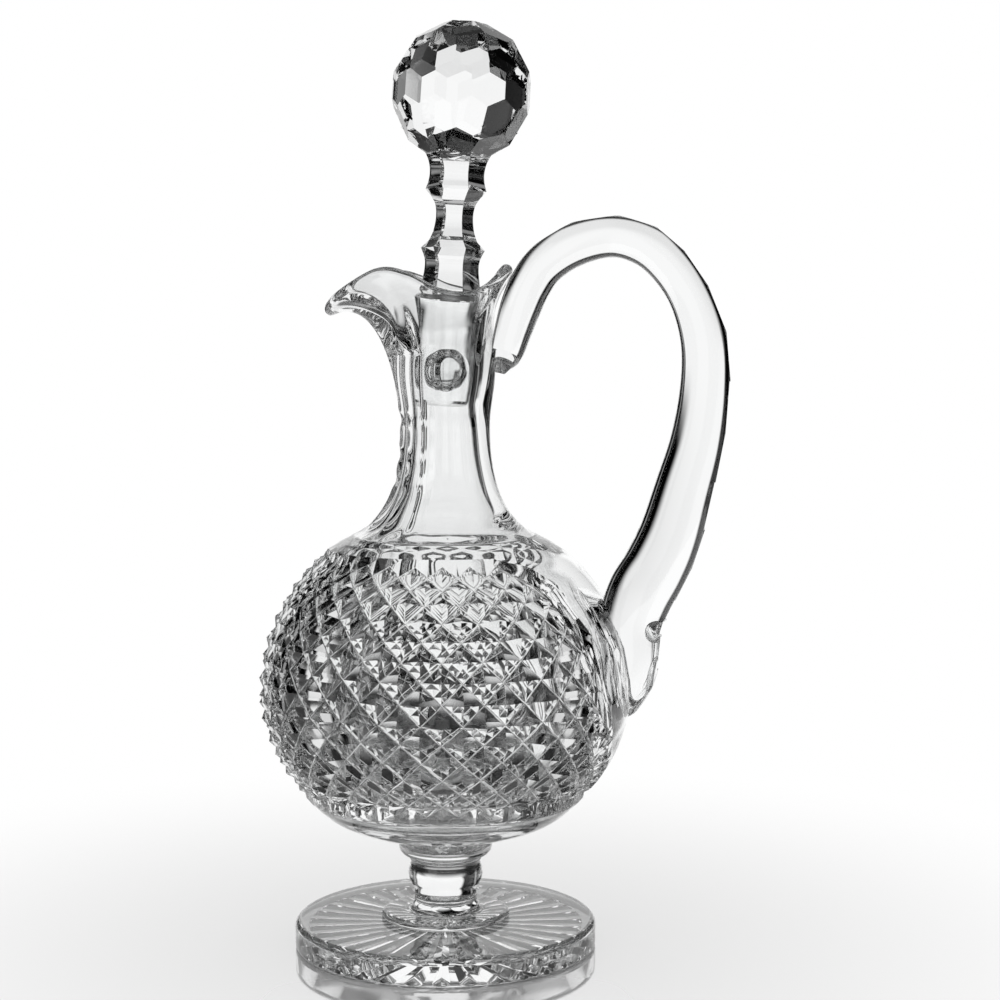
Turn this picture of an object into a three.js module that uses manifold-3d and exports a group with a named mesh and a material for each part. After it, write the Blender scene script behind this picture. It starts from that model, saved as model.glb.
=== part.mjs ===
// A cut-glass claret decanter with its ball stopper, as a three.js scene graph.
// Millimetres, +Z up. The origin is the middle of the foot's underside.
// The loop handle lies towards +X and the pouring lip towards -X.

import * as THREE from 'three';
import { mergeVertices } from 'three/addons/utils/BufferGeometryUtils.js';
import { ConvexGeometry } from 'three/addons/geometries/ConvexGeometry.js';
import Module from 'manifold-3d';

const wasm = await Module();
wasm.setup();

// Driving dimensions: clearances
const seam = 0.3;
const stopperFit = 0.3;

// Driving dimensions: foot and stem
const footRadius = 51.5;
const footThickness = 9.3;
const footEdgeRound = 2.2;
const starInnerRadius = 4.5;
const starOuterRadius = 45;
const starDepth = 1.7;
const waferRadius = 22;
const waferThickness = 3;
const knopRadius = 12.8;
const knopHeight = 17;
const collarRadius = 16;
const collarHeight = 8.6;

// Driving dimensions: bowl
const bowlRadius = 63.4;
const bowlHeight = 100.9;
const bowlWall = 5.4;
const diamondDepth = 2.3;

// Driving dimensions: neck and pouring lip
const neckRadius = 15.2;
const neckHeight = 51;
const fluteDepth = 1.5;
const fluteRunOut = 2.5;
const throatRadius = 16.6;
const lipHeight = 32;
const lipEdge = 3.2;
const mouthRadius = 17.6;
const spoutReach = 38;
const spoutDrop = 6.6;
const curlReach = 22.6;
const curlRise = 7;

// Driving dimensions: handle
const handleStandOff = 48;
const handleThickness = 16;
const handleBreadth = 15.5;
const handleRootDrop = 7.8;
const notchDepth = 0.7;

// Driving dimensions: stopper
const plugLength = 35.5;
const plugTopRadius = 9.8;
const plugBottomRadius = 6.7;
const plugChamfer = 1;
const shankLength = 52.5;
const shankRadius = 10.4;
const ballRadius = 22.4;
const ballRise = 15.3;
const seatDepth = 3;
const stopperLean = THREE.MathUtils.degToRad(3.4);

// Counts of the cutter's pattern and of the facets that stand for round surfaces
const starRays = 32;
const diamondsRound = 28;
const fluteCount = 10;
const fluteTurn = THREE.MathUtils.degToRad(22.4);
const fluteSteps = 4;
const plainNeckSteps = 14;
const stemSides = 36;
const plugSides = 32;
const shankSides = 6;
const handleSides = 14;
const handleSteps = 44;
const notchCount = 15;

// Heights that stack up from the foot
const stemBase = footThickness + waferThickness;
const collarBase = stemBase + knopHeight;
const bowlBase = collarBase + collarHeight;
const shoulderZ = bowlBase + bowlHeight;
const throatZ = shoulderZ + neckHeight;
const mouthZ = throatZ + lipHeight;

const fullTurn = 2 * Math.PI;
const { lerp, clamp, smoothstep } = THREE.MathUtils;
const polar = (radius, turn, z) => new THREE.Vector3(radius * Math.cos(turn), radius * Math.sin(turn), z);
const evenTurns = (count, phase = 0) => Array.from({ length: count }, (_, i) => phase + fullTurn * i / count);
const circle = (radius, z, turns) => turns.map((turn) => polar(radius, turn, z));
const onAxis = (z) => new THREE.Vector3(0, 0, z);

// A closed skin over rings of points that all run the same way round. Points on the axis can
// close its two ends. Without them the last ring joins the first, as in a tube with a wall.
function ringSkin(rings, { start, end, splitsOther = () => false } = {}) {
  const columns = rings[0].length;
  const points = rings.flat();
  const faces = [];
  const at = (row, column) => (row % rings.length) * columns + column % columns;
  const rows = start ? rings.length - 1 : rings.length;
  for (let row = 0; row < rows; row += 1) {
    for (let column = 0; column < columns; column += 1) {
      const a = at(row, column);
      const b = at(row, column + 1);
      const c = at(row + 1, column + 1);
      const d = at(row + 1, column);
      if (splitsOther(row, column)) faces.push(a, b, d, b, c, d);
      else faces.push(a, b, c, a, c, d);
    }
  }
  if (start) {
    const first = points.push(start) - 1;
    const last = points.push(end) - 1;
    for (let column = 0; column < columns; column += 1) {
      faces.push(first, at(0, column + 1), at(0, column));
      faces.push(last, at(rings.length - 1, column), at(rings.length - 1, column + 1));
    }
  }
  const geometry = new THREE.BufferGeometry().setFromPoints(points);
  geometry.setIndex(faces);
  return geometry;
}

// A turned solid from an outline of [radius, height] pairs, read from its foot to its top
function turned(outline, sides) {
  const turns = evenTurns(sides);
  const rings = outline.map(([radius, z]) => circle(radius, z, turns));
  return ringSkin(rings, { start: onAxis(outline[0][1]), end: onAxis(outline.at(-1)[1]) });
}

function toSolid(geometry) {
  const bare = geometry.clone();
  bare.deleteAttribute('normal');
  bare.deleteAttribute('uv');
  const merged = mergeVertices(bare);
  return new wasm.Manifold(new wasm.Mesh({
    numProp: 3,
    vertProperties: new Float32Array(merged.attributes.position.array),
    triVerts: new Uint32Array(merged.index.array),
  }));
}

function fromSolid(solid) {
  const mesh = solid.getMesh();
  const geometry = new THREE.BufferGeometry();
  geometry.setAttribute('position', new THREE.BufferAttribute(mesh.vertProperties, mesh.numProp));
  geometry.setIndex(new THREE.BufferAttribute(mesh.triVerts, 1));
  return geometry;
}

const clearCrystal = new THREE.MeshStandardMaterial({ color: 0xe9edee, roughness: 0.03, metalness: 0 });
const cutCrystal = new THREE.MeshStandardMaterial({ color: 0xdfe4e6, roughness: 0.05, metalness: 0 });

function piece(name, geometry, material) {
  const mesh = new THREE.Mesh(geometry, material);
  mesh.name = name;
  return mesh;
}

// Foot: a thick round disc. The star is cut up into its underside, each ray a valley that
// widens and deepens outwards, and the rim, the ridges and the middle stay flat to stand on.
const starRadiusShares = [0.5, 0.96];
const starDepthShares = [0.6, 1];
function footGeometry() {
  const turns = evenTurns(2 * starRays);
  const starRings = starRadiusShares.map((share, ring) => turns.map((turn, ray) => {
    const radius = lerp(starInnerRadius, starOuterRadius, share);
    return polar(radius, turn, ray % 2 ? starDepth * starDepthShares[ring] : 0);
  }));
  const bevel = footEdgeRound * (1 - Math.SQRT1_2);
  const rings = [
    circle(starInnerRadius, 0, turns),
    ...starRings,
    circle(starOuterRadius, 0, turns),
    circle(footRadius - bevel, 0, turns),
    circle(footRadius, bevel, turns),
    circle(footRadius, footThickness - footEdgeRound, turns),
    circle(footRadius - bevel, footThickness - bevel, turns),
    circle(footRadius - footEdgeRound, footThickness, turns),
  ];
  return ringSkin(rings, { start: onAxis(0), end: onAxis(footThickness) });
}

function waferGeometry() {
  const edge = waferThickness / 2;
  return turned([
    [waferRadius - edge, footThickness],
    [waferRadius, footThickness + edge / 2],
    [waferRadius - edge / 2, stemBase - edge / 2],
    [waferRadius - 2 * edge, stemBase],
  ], stemSides);
}

// Shares of the knop's radius and height, from its foot to its top
const knopShares = [
  [0.98, 0], [0.86, 0.1], [0.83, 0.3], [0.9, 0.5], [0.99, 0.66], [1, 0.78], [0.95, 0.93], [0.94, 1],
];
function knopGeometry() {
  return turned(knopShares.map(([r, h]) => [r * knopRadius, stemBase + h * knopHeight]), stemSides);
}

const collarShares = [[0.78, 0], [0.96, 0.2], [1, 0.5], [0.97, 0.75], [0.84, 0.86], [0.9, 1]];
function collarGeometry() {
  return turned(collarShares.map(([r, h]) => [r * collarRadius, collarBase + h * collarHeight]), stemSides);
}

// Bowl outline: shares of the bowl's radius and height, from the collar to the shoulder
const bowlShares = [
  [0.33, 0], [0.63, 0.075], [0.872, 0.24], [0.98, 0.4], [1, 0.51], [0.957, 0.68], [0.828, 0.84],
  [0.685, 0.945], [0.56, 1],
];
const bowlCurve = new THREE.SplineCurve(
  bowlShares.map(([r, h]) => new THREE.Vector2(r * bowlRadius, bowlBase + h * bowlHeight)),
);
const shoulderRadius = bowlShares.at(-1)[0] * bowlRadius;
const diamondZoneShares = [0.145, 0.905];
const outlineSearchSteps = 400;

// The plain panel under the handle: half its angle, in degrees, by share of the bowl's height
const panelHeightShares = [0.2, 0.3, 0.46, 0.62, 0.82, 0.96];
const panelHalfTurns = [2, 12, 23, 30, 42, 70];
const panelCurve = new THREE.LinearInterpolant(panelHeightShares, panelHalfTurns, 1);
function insidePanel(point) {
  const share = (point.z - bowlBase) / bowlHeight;
  if (share < panelHeightShares[0]) return false;
  const halfTurn = THREE.MathUtils.degToRad(panelCurve.evaluate(share)[0]);
  return Math.abs(Math.atan2(point.y, point.x)) < halfTurn;
}

// Places along the bowl's outline where rows of diamonds cross. Each step is as long as
// half a diamond is wide there, so the diamonds keep their shape towards the poles.
function diamondRows() {
  const length = bowlCurve.getLength();
  const [lowShare, highShare] = diamondZoneShares;
  const rows = [];
  for (let u = 0; u < 1;) {
    const point = bowlCurve.getPointAt(u);
    const share = (point.y - bowlBase) / bowlHeight;
    if (share > highShare) break;
    if (share > lowShare) rows.push(u);
    u += share > lowShare ? point.x * Math.PI / diamondsRound / length : 1 / outlineSearchSteps;
  }
  return rows;
}

// The bowl's outline moved out by an offset, or in by a negative one
function bowlOffset(u, offset) {
  const point = bowlCurve.getPointAt(u);
  const along = bowlCurve.getTangentAt(u);
  return new THREE.Vector2(point.x + along.y * offset, point.y - along.x * offset);
}

// Rings of plain glass below and above the diamonds, and rings of the smooth inner wall, as
// shares of the outline's stretch that they lie on
const plainBelowShares = [0, 0.5, 0.94];
const plainAboveShares = [0.25, 1];
const innerWallShares = [0.97, 0.88, 0.76, 0.62, 0.48, 0.34, 0.22, 0.12];
function bowlGeometry() {
  const turns = evenTurns(2 * diamondsRound);
  const rows = diamondRows();
  const before = plainBelowShares.map((share) => share * rows[0]);
  const after = plainAboveShares.map((share) => lerp(rows.at(-1), 1, share));
  const plain = (u) => circle(bowlOffset(u, 0).x, bowlOffset(u, 0).y, turns);
  const cut = (u, row) => turns.map((turn, column) => {
    const surface = bowlOffset(u, 0);
    const onSurface = polar(surface.x, turn, surface.y);
    const isPeak = (row + column) % 2;
    if (isPeak || insidePanel(onSurface)) return onSurface;
    const valley = bowlOffset(u, -diamondDepth * surface.x / bowlRadius);
    return polar(valley.x, turn, valley.y);
  });
  const outer = [...before.map(plain), ...rows.map(cut), ...after.map(plain)];
  const innerTop = [shoulderRadius - bowlWall, shoulderZ];
  const inner = innerWallShares.map((u) => bowlOffset(u, -bowlWall)).map((point) => [point.x, point.y]);
  const rings = [...outer, ...[innerTop, ...inner].map(([radius, z]) => circle(radius, z, turns))];
  const firstCut = before.length;
  return ringSkin(rings, {
    start: onAxis(bowlBase),
    end: onAxis(bowlBase + bowlWall),
    splitsOther: (row, column) => row >= firstCut && (row - firstCut + column) % 2 === 1,
  });
}

// Neck: flutes on the side away from the handle, with plain glass under the handle
const fluteStart = Math.PI - fluteTurn * fluteCount / 2;
const neckTurns = [
  ...Array.from({ length: fluteCount * fluteSteps }, (_, i) => fluteStart + fluteTurn * i / fluteSteps),
  ...Array.from({ length: plainNeckSteps }, (_, i) => (
    lerp(fluteStart + fluteTurn * fluteCount, fluteStart + fullTurn, i / plainNeckSteps))),
];
const fluteTopShare = 0.43;
const fluteTopZ = throatZ + lipHeight * fluteTopShare;
function fluteCutAt(turn, z) {
  const place = (turn - fluteStart) / fluteTurn;
  if (place <= 0 || place >= fluteCount) return 0;
  const across = 2 * (place % 1) - 1;
  const fadesIn = smoothstep(z, shoulderZ + fluteRunOut, shoulderZ + neckHeight / 4);
  const fadesOut = 1 - smoothstep(z, fluteTopZ - fluteRunOut / 2, fluteTopZ + fluteRunOut / 2);
  return fluteDepth * (1 - across * across) * fadesIn * fadesOut;
}

// Shares from the shoulder to the throat: how much of the shoulder's extra radius is left,
// and how high, and the same for the throat's extra radius
const neckShares = [
  [1, 0, 0], [0.83, 0.035, 0], [0.55, 0.1, 0], [0.33, 0.2, 0], [0.15, 0.34, 0], [0.04, 0.54, 0],
  [0, 0.78, 0.1], [0, 1, 1],
];
const neckOutline = neckShares.map(([shoulder, h, throat]) => [
  neckRadius + shoulder * (shoulderRadius - neckRadius) + throat * (throatRadius - neckRadius),
  shoulderZ + h * neckHeight,
]);

// The rim, by its angle from the handle in degrees: shares of the way from the mouth's
// radius to the spout's tip or the handle's curl, of the curl's rise, and the outward lean
const rimAngles = [0, 22, 50, 90, 122, 146, 165, 180];
const rimSpoutShares = [0, 0, 0, 0, 0.1, 0.4, 0.84, 1];
const rimCurlShares = [1, 0.75, 0.2, 0, 0, 0, 0, 0];
const rimRiseShares = [1, 0.5, -0.08, 0.05, 0.75, 1.05, 0.4, 0];
const rimLeans = [38, 30, 20, 17, 22, 42, 92, 114];
const rimTable = new THREE.CubicInterpolant(rimAngles, rimAngles.flatMap((_, i) => (
  [rimSpoutShares[i], rimCurlShares[i], rimRiseShares[i], rimLeans[i]])), 4);
rimTable.settings = { endingStart: THREE.ZeroSlopeEnding, endingEnd: THREE.ZeroSlopeEnding };
function rimAt(turn) {
  const angle = THREE.MathUtils.radToDeg(Math.abs(Math.atan2(Math.sin(turn), Math.cos(turn))));
  const [spout, curl, rise, lean] = rimTable.evaluate(angle);
  return {
    radius: mouthRadius + spout * (spoutReach - mouthRadius) + curl * (curlReach - mouthRadius),
    z: mouthZ + rise * curlRise - clamp(spout, 0, 1) ** 2 * spoutDrop,
    lean: THREE.MathUtils.degToRad(lean),
  };
}

// One half-plane of the lip: a curve from the throat up and out to the rim
const lipStartShare = 0.4;
const lipEndShare = 0.45;
function lipCurve(start, rim, startSlope) {
  const rise = rim.z - start.y;
  const run = Math.hypot(rise, rim.radius - start.x);
  const out = new THREE.Vector2(Math.sin(rim.lean), Math.cos(rim.lean));
  const end = new THREE.Vector2(rim.radius, rim.z);
  return new THREE.CubicBezierCurve(
    start,
    new THREE.Vector2(start.x + startSlope * rise * lipStartShare, start.y + rise * lipStartShare),
    end.clone().addScaledVector(out, -run * lipEndShare),
    end,
  );
}

// The ground seat's wall, which leans as the stopper does, at a height and an angle
const seatZ = mouthZ - plugLength;
const pivotZ = seatZ + seatDepth;
function seatRadius(turn, z) {
  const share = (z - seatZ) / plugLength;
  const radius = lerp(plugBottomRadius, plugTopRadius, share) + stopperFit;
  const shift = (z - pivotZ) * Math.tan(stopperLean);
  return shift * Math.cos(turn) + Math.sqrt(radius ** 2 - (shift * Math.sin(turn)) ** 2);
}

const throatSlope = 0.16;
const outerLipShares = [0.22, 0.38, 0.46, 0.66, 0.84, 1];
function outerLipRings(grow = 0) {
  return outerLipShares.map((t) => neckTurns.map((turn) => {
    const start = new THREE.Vector2(throatRadius, throatZ);
    const point = lipCurve(start, rimAt(turn), throatSlope).getPoint(t);
    return polar(point.x - fluteCutAt(turn, point.y) + grow, turn, point.y);
  }));
}
function outerNeckRings(grow = 0) {
  return neckOutline.map(([radius, z]) => (
    neckTurns.map((turn) => polar(radius - fluteCutAt(turn, z) + grow, turn, z))));
}

// The rim's rounded edge lies between the outer and the inner face of the lip
const innerRimAt = (turn) => {
  const rim = rimAt(turn);
  return {
    ...rim,
    radius: rim.radius - lipEdge * Math.cos(rim.lean),
    z: rim.z + lipEdge * Math.sin(rim.lean),
  };
};
const innerLipStartShare = 0.36;
const innerLipStartZ = throatZ + lipHeight * innerLipStartShare;
const innerLipShares = [1, 0.8, 0.56, 0.3, 0];
function innerLipRings() {
  return innerLipShares.map((t) => neckTurns.map((turn) => {
    const start = new THREE.Vector2(seatRadius(turn, innerLipStartZ), innerLipStartZ);
    const point = lipCurve(start, innerRimAt(turn), 0).getPoint(t);
    return polar(Math.max(point.x, seatRadius(turn, point.y)), turn, point.y);
  }));
}
function rimCrownRing(grow = 0) {
  return neckTurns.map((turn) => {
    const outer = rimAt(turn);
    const inner = innerRimAt(turn);
    const crown = lipEdge / 2 + grow;
    return polar(
      (outer.radius + inner.radius) / 2 + crown * Math.sin(outer.lean),
      turn,
      (outer.z + inner.z) / 2 + crown * Math.cos(outer.lean),
    );
  });
}

// Below the seat: shares of the way from the bore's radius to the shoulder's, and of the height
const boreShares = [[0.03, 0.85], [0.08, 0.6], [0.2, 0.36], [0.42, 0.18], [0.75, 0.06], [1, 0]];
function neckGeometry() {
  const boreRadius = plugBottomRadius + stopperFit;
  const shoulderBore = shoulderRadius - bowlWall;
  const seatRing = neckTurns.map((turn) => polar(seatRadius(turn, seatZ), turn, seatZ));
  const below = boreShares.map(([r, h]) => circle(
    lerp(boreRadius, shoulderBore, r), lerp(shoulderZ, seatZ, h), neckTurns));
  return ringSkin([
    ...outerNeckRings(), ...outerLipRings(), rimCrownRing(), ...innerLipRings(), seatRing, ...below,
  ]);
}

// Solids a little larger than the bowl and the neck, which the handle's ends are pressed on
const envelopeSteps = 24;
function bowlEnvelope() {
  const places = Array.from({ length: envelopeSteps + 1 }, (_, i) => i / envelopeSteps);
  const outline = places.map((u) => bowlOffset(u, seam)).map((point) => [point.x, point.y]);
  return toSolid(turned(outline, 2 * diamondsRound));
}
function neckEnvelope() {
  const innerEdge = neckTurns.map((turn) => {
    const inner = innerRimAt(turn);
    return polar(inner.radius - seam, turn, inner.z + seam);
  });
  const rings = [...outerNeckRings(seam), ...outerLipRings(seam), rimCrownRing(seam), innerEdge];
  rings[0] = rings[0].map((point) => point.clone().setZ(shoulderZ - seam));
  return toSolid(ringSkin(rings, { start: onAxis(shoulderZ - seam), end: onAxis(mouthZ) }));
}

// Handle: shares of its way up from the lower root to the lip, of its stand-off from the line
// between bowl and neck, and of its thickness, from the end on the neck to the end on the bowl
const handleShares = [
  [0.815, -0.15, 0.2], [0.84, -0.11, 0.55], [0.87, -0.045, 0.7], [0.92, 0.045, 0.79],
  [0.972, 0.145, 0.86], [1.022, 0.235, 0.88], [1.07, 0.333, 0.88], [1.117, 0.54, 0.9],
  [1.137, 0.82, 0.87], [1.115, 1.045, 0.88], [1.067, 1.21, 0.88], [0.995, 1.345, 0.9],
  [0.89, 1.345, 1], [0.778, 1.245, 1.06], [0.656, 1.08, 1.15], [0.544, 0.885, 1.25],
  [0.427, 0.675, 1.36], [0.356, 0.515, 1.41], [0.287, 0.335, 1.45], [0.215, 0.2, 1.36],
  [0.143, 0.135, 1.25], [0.072, 0.04, 1.07], [0.02, -0.03, 0.62], [-0.005, -0.075, 0.2],
];
const handleFootZ = bowlBase + bowlHeight / 2 - handleRootDrop;
function handlePath() {
  const points = handleShares.map(([h, out]) => {
    const z = lerp(handleFootZ, mouthZ, h);
    const base = lerp(bowlRadius, mouthRadius, clamp(h, 0, 1));
    return new THREE.Vector3(base + out * handleStandOff, 0, z);
  });
  return new THREE.CatmullRomCurve3(points, false, 'centripetal');
}
const handleTable = new THREE.CubicInterpolant(
  handleShares.map((_, i) => i / (handleShares.length - 1)), handleShares.map((row) => row[2]), 1);
handleTable.settings = { endingStart: THREE.ZeroCurvatureEnding, endingEnd: THREE.ZeroCurvatureEnding };

// Shallow notches along the handle's back leave a row of crests between flat cuts
const notchFirstShare = 0.3;
const notchLastShare = 0.88;
function notchAt(share, turn) {
  const fromFirst = (share - notchFirstShare) / (notchLastShare - notchFirstShare);
  if (fromFirst <= 0 || fromFirst >= 1) return 0;
  const between = Math.abs(2 * ((fromFirst * notchCount) % 1) - 1);
  return notchDepth * (1 - between) * Math.max(0, Math.cos(turn));
}

function handleGeometry() {
  const path = handlePath();
  const breadthAxis = new THREE.Vector3(0, 1, 0);
  const turns = evenTurns(handleSides);
  const rings = Array.from({ length: handleSteps + 1 }, (_, i) => {
    const share = i / handleSteps;
    const centre = path.getPoint(share);
    const along = path.getTangent(share);
    const outward = new THREE.Vector3().crossVectors(breadthAxis, along);
    const thickness = handleTable.evaluate(share)[0];
    return turns.map((turn) => {
      const half = thickness * handleThickness / 2 - notchAt(share, Math.PI - turn);
      const halfBreadth = Math.sqrt(thickness) * handleBreadth / 2;
      return centre.clone()
        .addScaledVector(outward, half * Math.cos(turn))
        .addScaledVector(breadthAxis, halfBreadth * Math.sin(turn));
    });
  });
  const rod = toSolid(ringSkin(rings, { start: path.getPoint(0), end: path.getPoint(1) }));
  return fromSolid(rod.subtract(bowlEnvelope()).subtract(neckEnvelope()));
}

// Ball: flat facets in staggered rows, all touching one sphere. Polar angle and count a row.
const ballRows = [[0, 1, 0], [31, 6, 0], [60, 12, 0.5], [89, 12, 0], [117, 12, 0.5], [144, 6, 0]];
const cornerTolerance = 1e-5;
function ballGeometry() {
  const normals = ballRows.flatMap(([tilt, count, phase]) => Array.from({ length: count }, (_, i) => (
    new THREE.Vector3().setFromSphericalCoords(
      1, THREE.MathUtils.degToRad(tilt), fullTurn * (i + phase) / count))));
  const slack = ballRadius * cornerTolerance;
  const corners = [];
  normals.forEach((a, i) => normals.slice(i + 1).forEach((b, j) => normals.slice(i + j + 2).forEach((c) => {
    const volume = a.dot(new THREE.Vector3().crossVectors(b, c));
    if (Math.abs(volume) < cornerTolerance) return;
    const corner = new THREE.Vector3().crossVectors(b, c)
      .add(new THREE.Vector3().crossVectors(c, a))
      .add(new THREE.Vector3().crossVectors(a, b))
      .multiplyScalar(ballRadius / volume);
    const isOutside = normals.some((normal) => normal.dot(corner) > ballRadius + slack);
    if (!isOutside && !corners.some((other) => other.distanceTo(corner) < slack)) corners.push(corner);
  })));
  return new ConvexGeometry(corners).rotateX(Math.PI / 2);
}

// Shank: a six-sided waist with two sharp ridges, as shares of its radius and length
const shankShares = [
  [0.92, -0.03], [1, 0.03], [0.92, 0.1], [0.88, 0.19], [0.93, 0.25], [1.04, 0.295], [0.78, 0.346],
  [0.66, 0.41], [0.6, 0.5], [0.65, 0.575], [0.79, 0.623], [0.99, 0.668], [0.91, 0.72], [0.885, 0.785],
  [0.97, 0.86], [1.22, 0.94], [1.6, 1], [1.5, 1.12],
];
const shankPhase = THREE.MathUtils.degToRad(1);

// Stopper, in its own frame: the plug's small end at zero, the axis up
function stopperGeometry() {
  const plug = turned([
    [plugBottomRadius - plugChamfer / 2, 0],
    [plugBottomRadius, plugChamfer / 2],
    [plugTopRadius, plugLength - plugChamfer],
    [plugTopRadius - plugChamfer / 2, plugLength],
  ], plugSides);
  const turns = evenTurns(shankSides, shankPhase);
  const rings = shankShares.map(([r, h]) => circle(r * shankRadius, plugLength + h * shankLength, turns));
  const shank = ringSkin(rings, {
    start: onAxis(plugLength + shankShares[0][1] * shankLength),
    end: onAxis(plugLength + shankShares.at(-1)[1] * shankLength),
  });
  const ball = ballGeometry().translate(0, 0, plugLength + shankLength + ballRise);
  return fromSolid(toSolid(plug).add(toSolid(shank)).add(toSolid(ball)));
}

const decanter = new THREE.Group();
decanter.add(
  piece('foot', footGeometry(), cutCrystal),
  piece('foot_wafer', waferGeometry(), clearCrystal),
  piece('stem_knop', knopGeometry(), clearCrystal),
  piece('stem_collar', collarGeometry(), clearCrystal),
  piece('bowl', bowlGeometry(), cutCrystal),
  piece('neck', neckGeometry(), clearCrystal),
  piece('handle', handleGeometry(), clearCrystal),
);

// The stopper stands in the ground seat and leans a little towards the handle, as its seat does
const seated = new THREE.Group();
seated.position.set(0, 0, pivotZ);
seated.rotation.y = stopperLean;
const stopper = piece('stopper', stopperGeometry(), clearCrystal);
stopper.position.z = -seatDepth;
seated.add(stopper);
decanter.add(seated);

export default decanter;
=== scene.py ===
"""A claret decanter in hand-cut lead crystal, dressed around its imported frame.

Sizes in the classes are in millimetres, as on the cutter's drawing. The bench turns them into
metres. The handle lies towards +X, the pouring lip towards -X, and +Z is up.
"""

import logging
import math
from bisect import bisect_right
from collections.abc import Callable, Iterator, Sequence
from contextlib import contextmanager
from dataclasses import dataclass
from enum import Enum
from functools import partial
from itertools import pairwise

import bmesh
import bpy
from bpy.types import Material, Node, NodeSocket, NodeTree, Object
from mathutils import Matrix, Vector


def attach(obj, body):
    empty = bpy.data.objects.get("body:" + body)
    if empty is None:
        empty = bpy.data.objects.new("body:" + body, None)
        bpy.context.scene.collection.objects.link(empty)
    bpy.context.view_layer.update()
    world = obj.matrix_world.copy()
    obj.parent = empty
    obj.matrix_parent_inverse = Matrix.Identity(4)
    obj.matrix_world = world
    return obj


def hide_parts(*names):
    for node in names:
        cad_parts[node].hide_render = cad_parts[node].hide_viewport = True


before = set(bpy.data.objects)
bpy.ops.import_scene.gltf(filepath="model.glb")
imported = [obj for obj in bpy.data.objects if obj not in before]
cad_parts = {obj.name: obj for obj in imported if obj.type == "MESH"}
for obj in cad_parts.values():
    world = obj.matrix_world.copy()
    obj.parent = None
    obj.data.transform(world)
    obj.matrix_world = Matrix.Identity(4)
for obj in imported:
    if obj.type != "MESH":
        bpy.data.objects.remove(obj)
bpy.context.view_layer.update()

MM = 0.001
FULL_TURN = 2 * math.pi
WELD = 1e-3
PRESS_WELD = 2e-3
BLANK_RADIUS = 20.0
WHEEL_SEGMENTS = 48
HALVINGS = 30
LEVEL_FACE = 0.99
TOOL_MARK = "mark_tool"
LOG = logging.getLogger("decanter")

Pair = tuple[float, float]
Triple = tuple[float, float, float]
Place = Callable[[float], Pair]


class Body(Enum):
    """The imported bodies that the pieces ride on."""

    DECANTER = "decanter"
    STOPPER = "stopper"


class Slot(Enum):
    """The record's material slots."""

    CUT = "cut_crystal"
    CLEAR = "clear_crystal"
    STOPPER = "stopper_crystal"


class Face(Enum):
    """Which of a piece's materials a face has."""

    GLASS = 0
    BOND = 1
    GROUND = 2


# Small sums.


def lerp(start: float, end: float, share: float) -> float:
    """The value a share of the way from start to end."""
    return start + (end - start) * share


def smooth_step(value: float, low: float, high: float) -> float:
    """0 below low, 1 above high, and a smooth rise between them.

    Args:
        value: what decides.
        low: where the rise starts.
        high: where it ends.

    Returns:
        The step's height.
    """
    share = min(1.0, max(0.0, (value - low) / (high - low)))
    return share * share * (3 - 2 * share)


def polar(radius: float, turn: float, height: float) -> Vector:
    """A point by its distance from the axis, its angle and its height."""
    return Vector((radius * math.cos(turn), radius * math.sin(turn), height))


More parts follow.
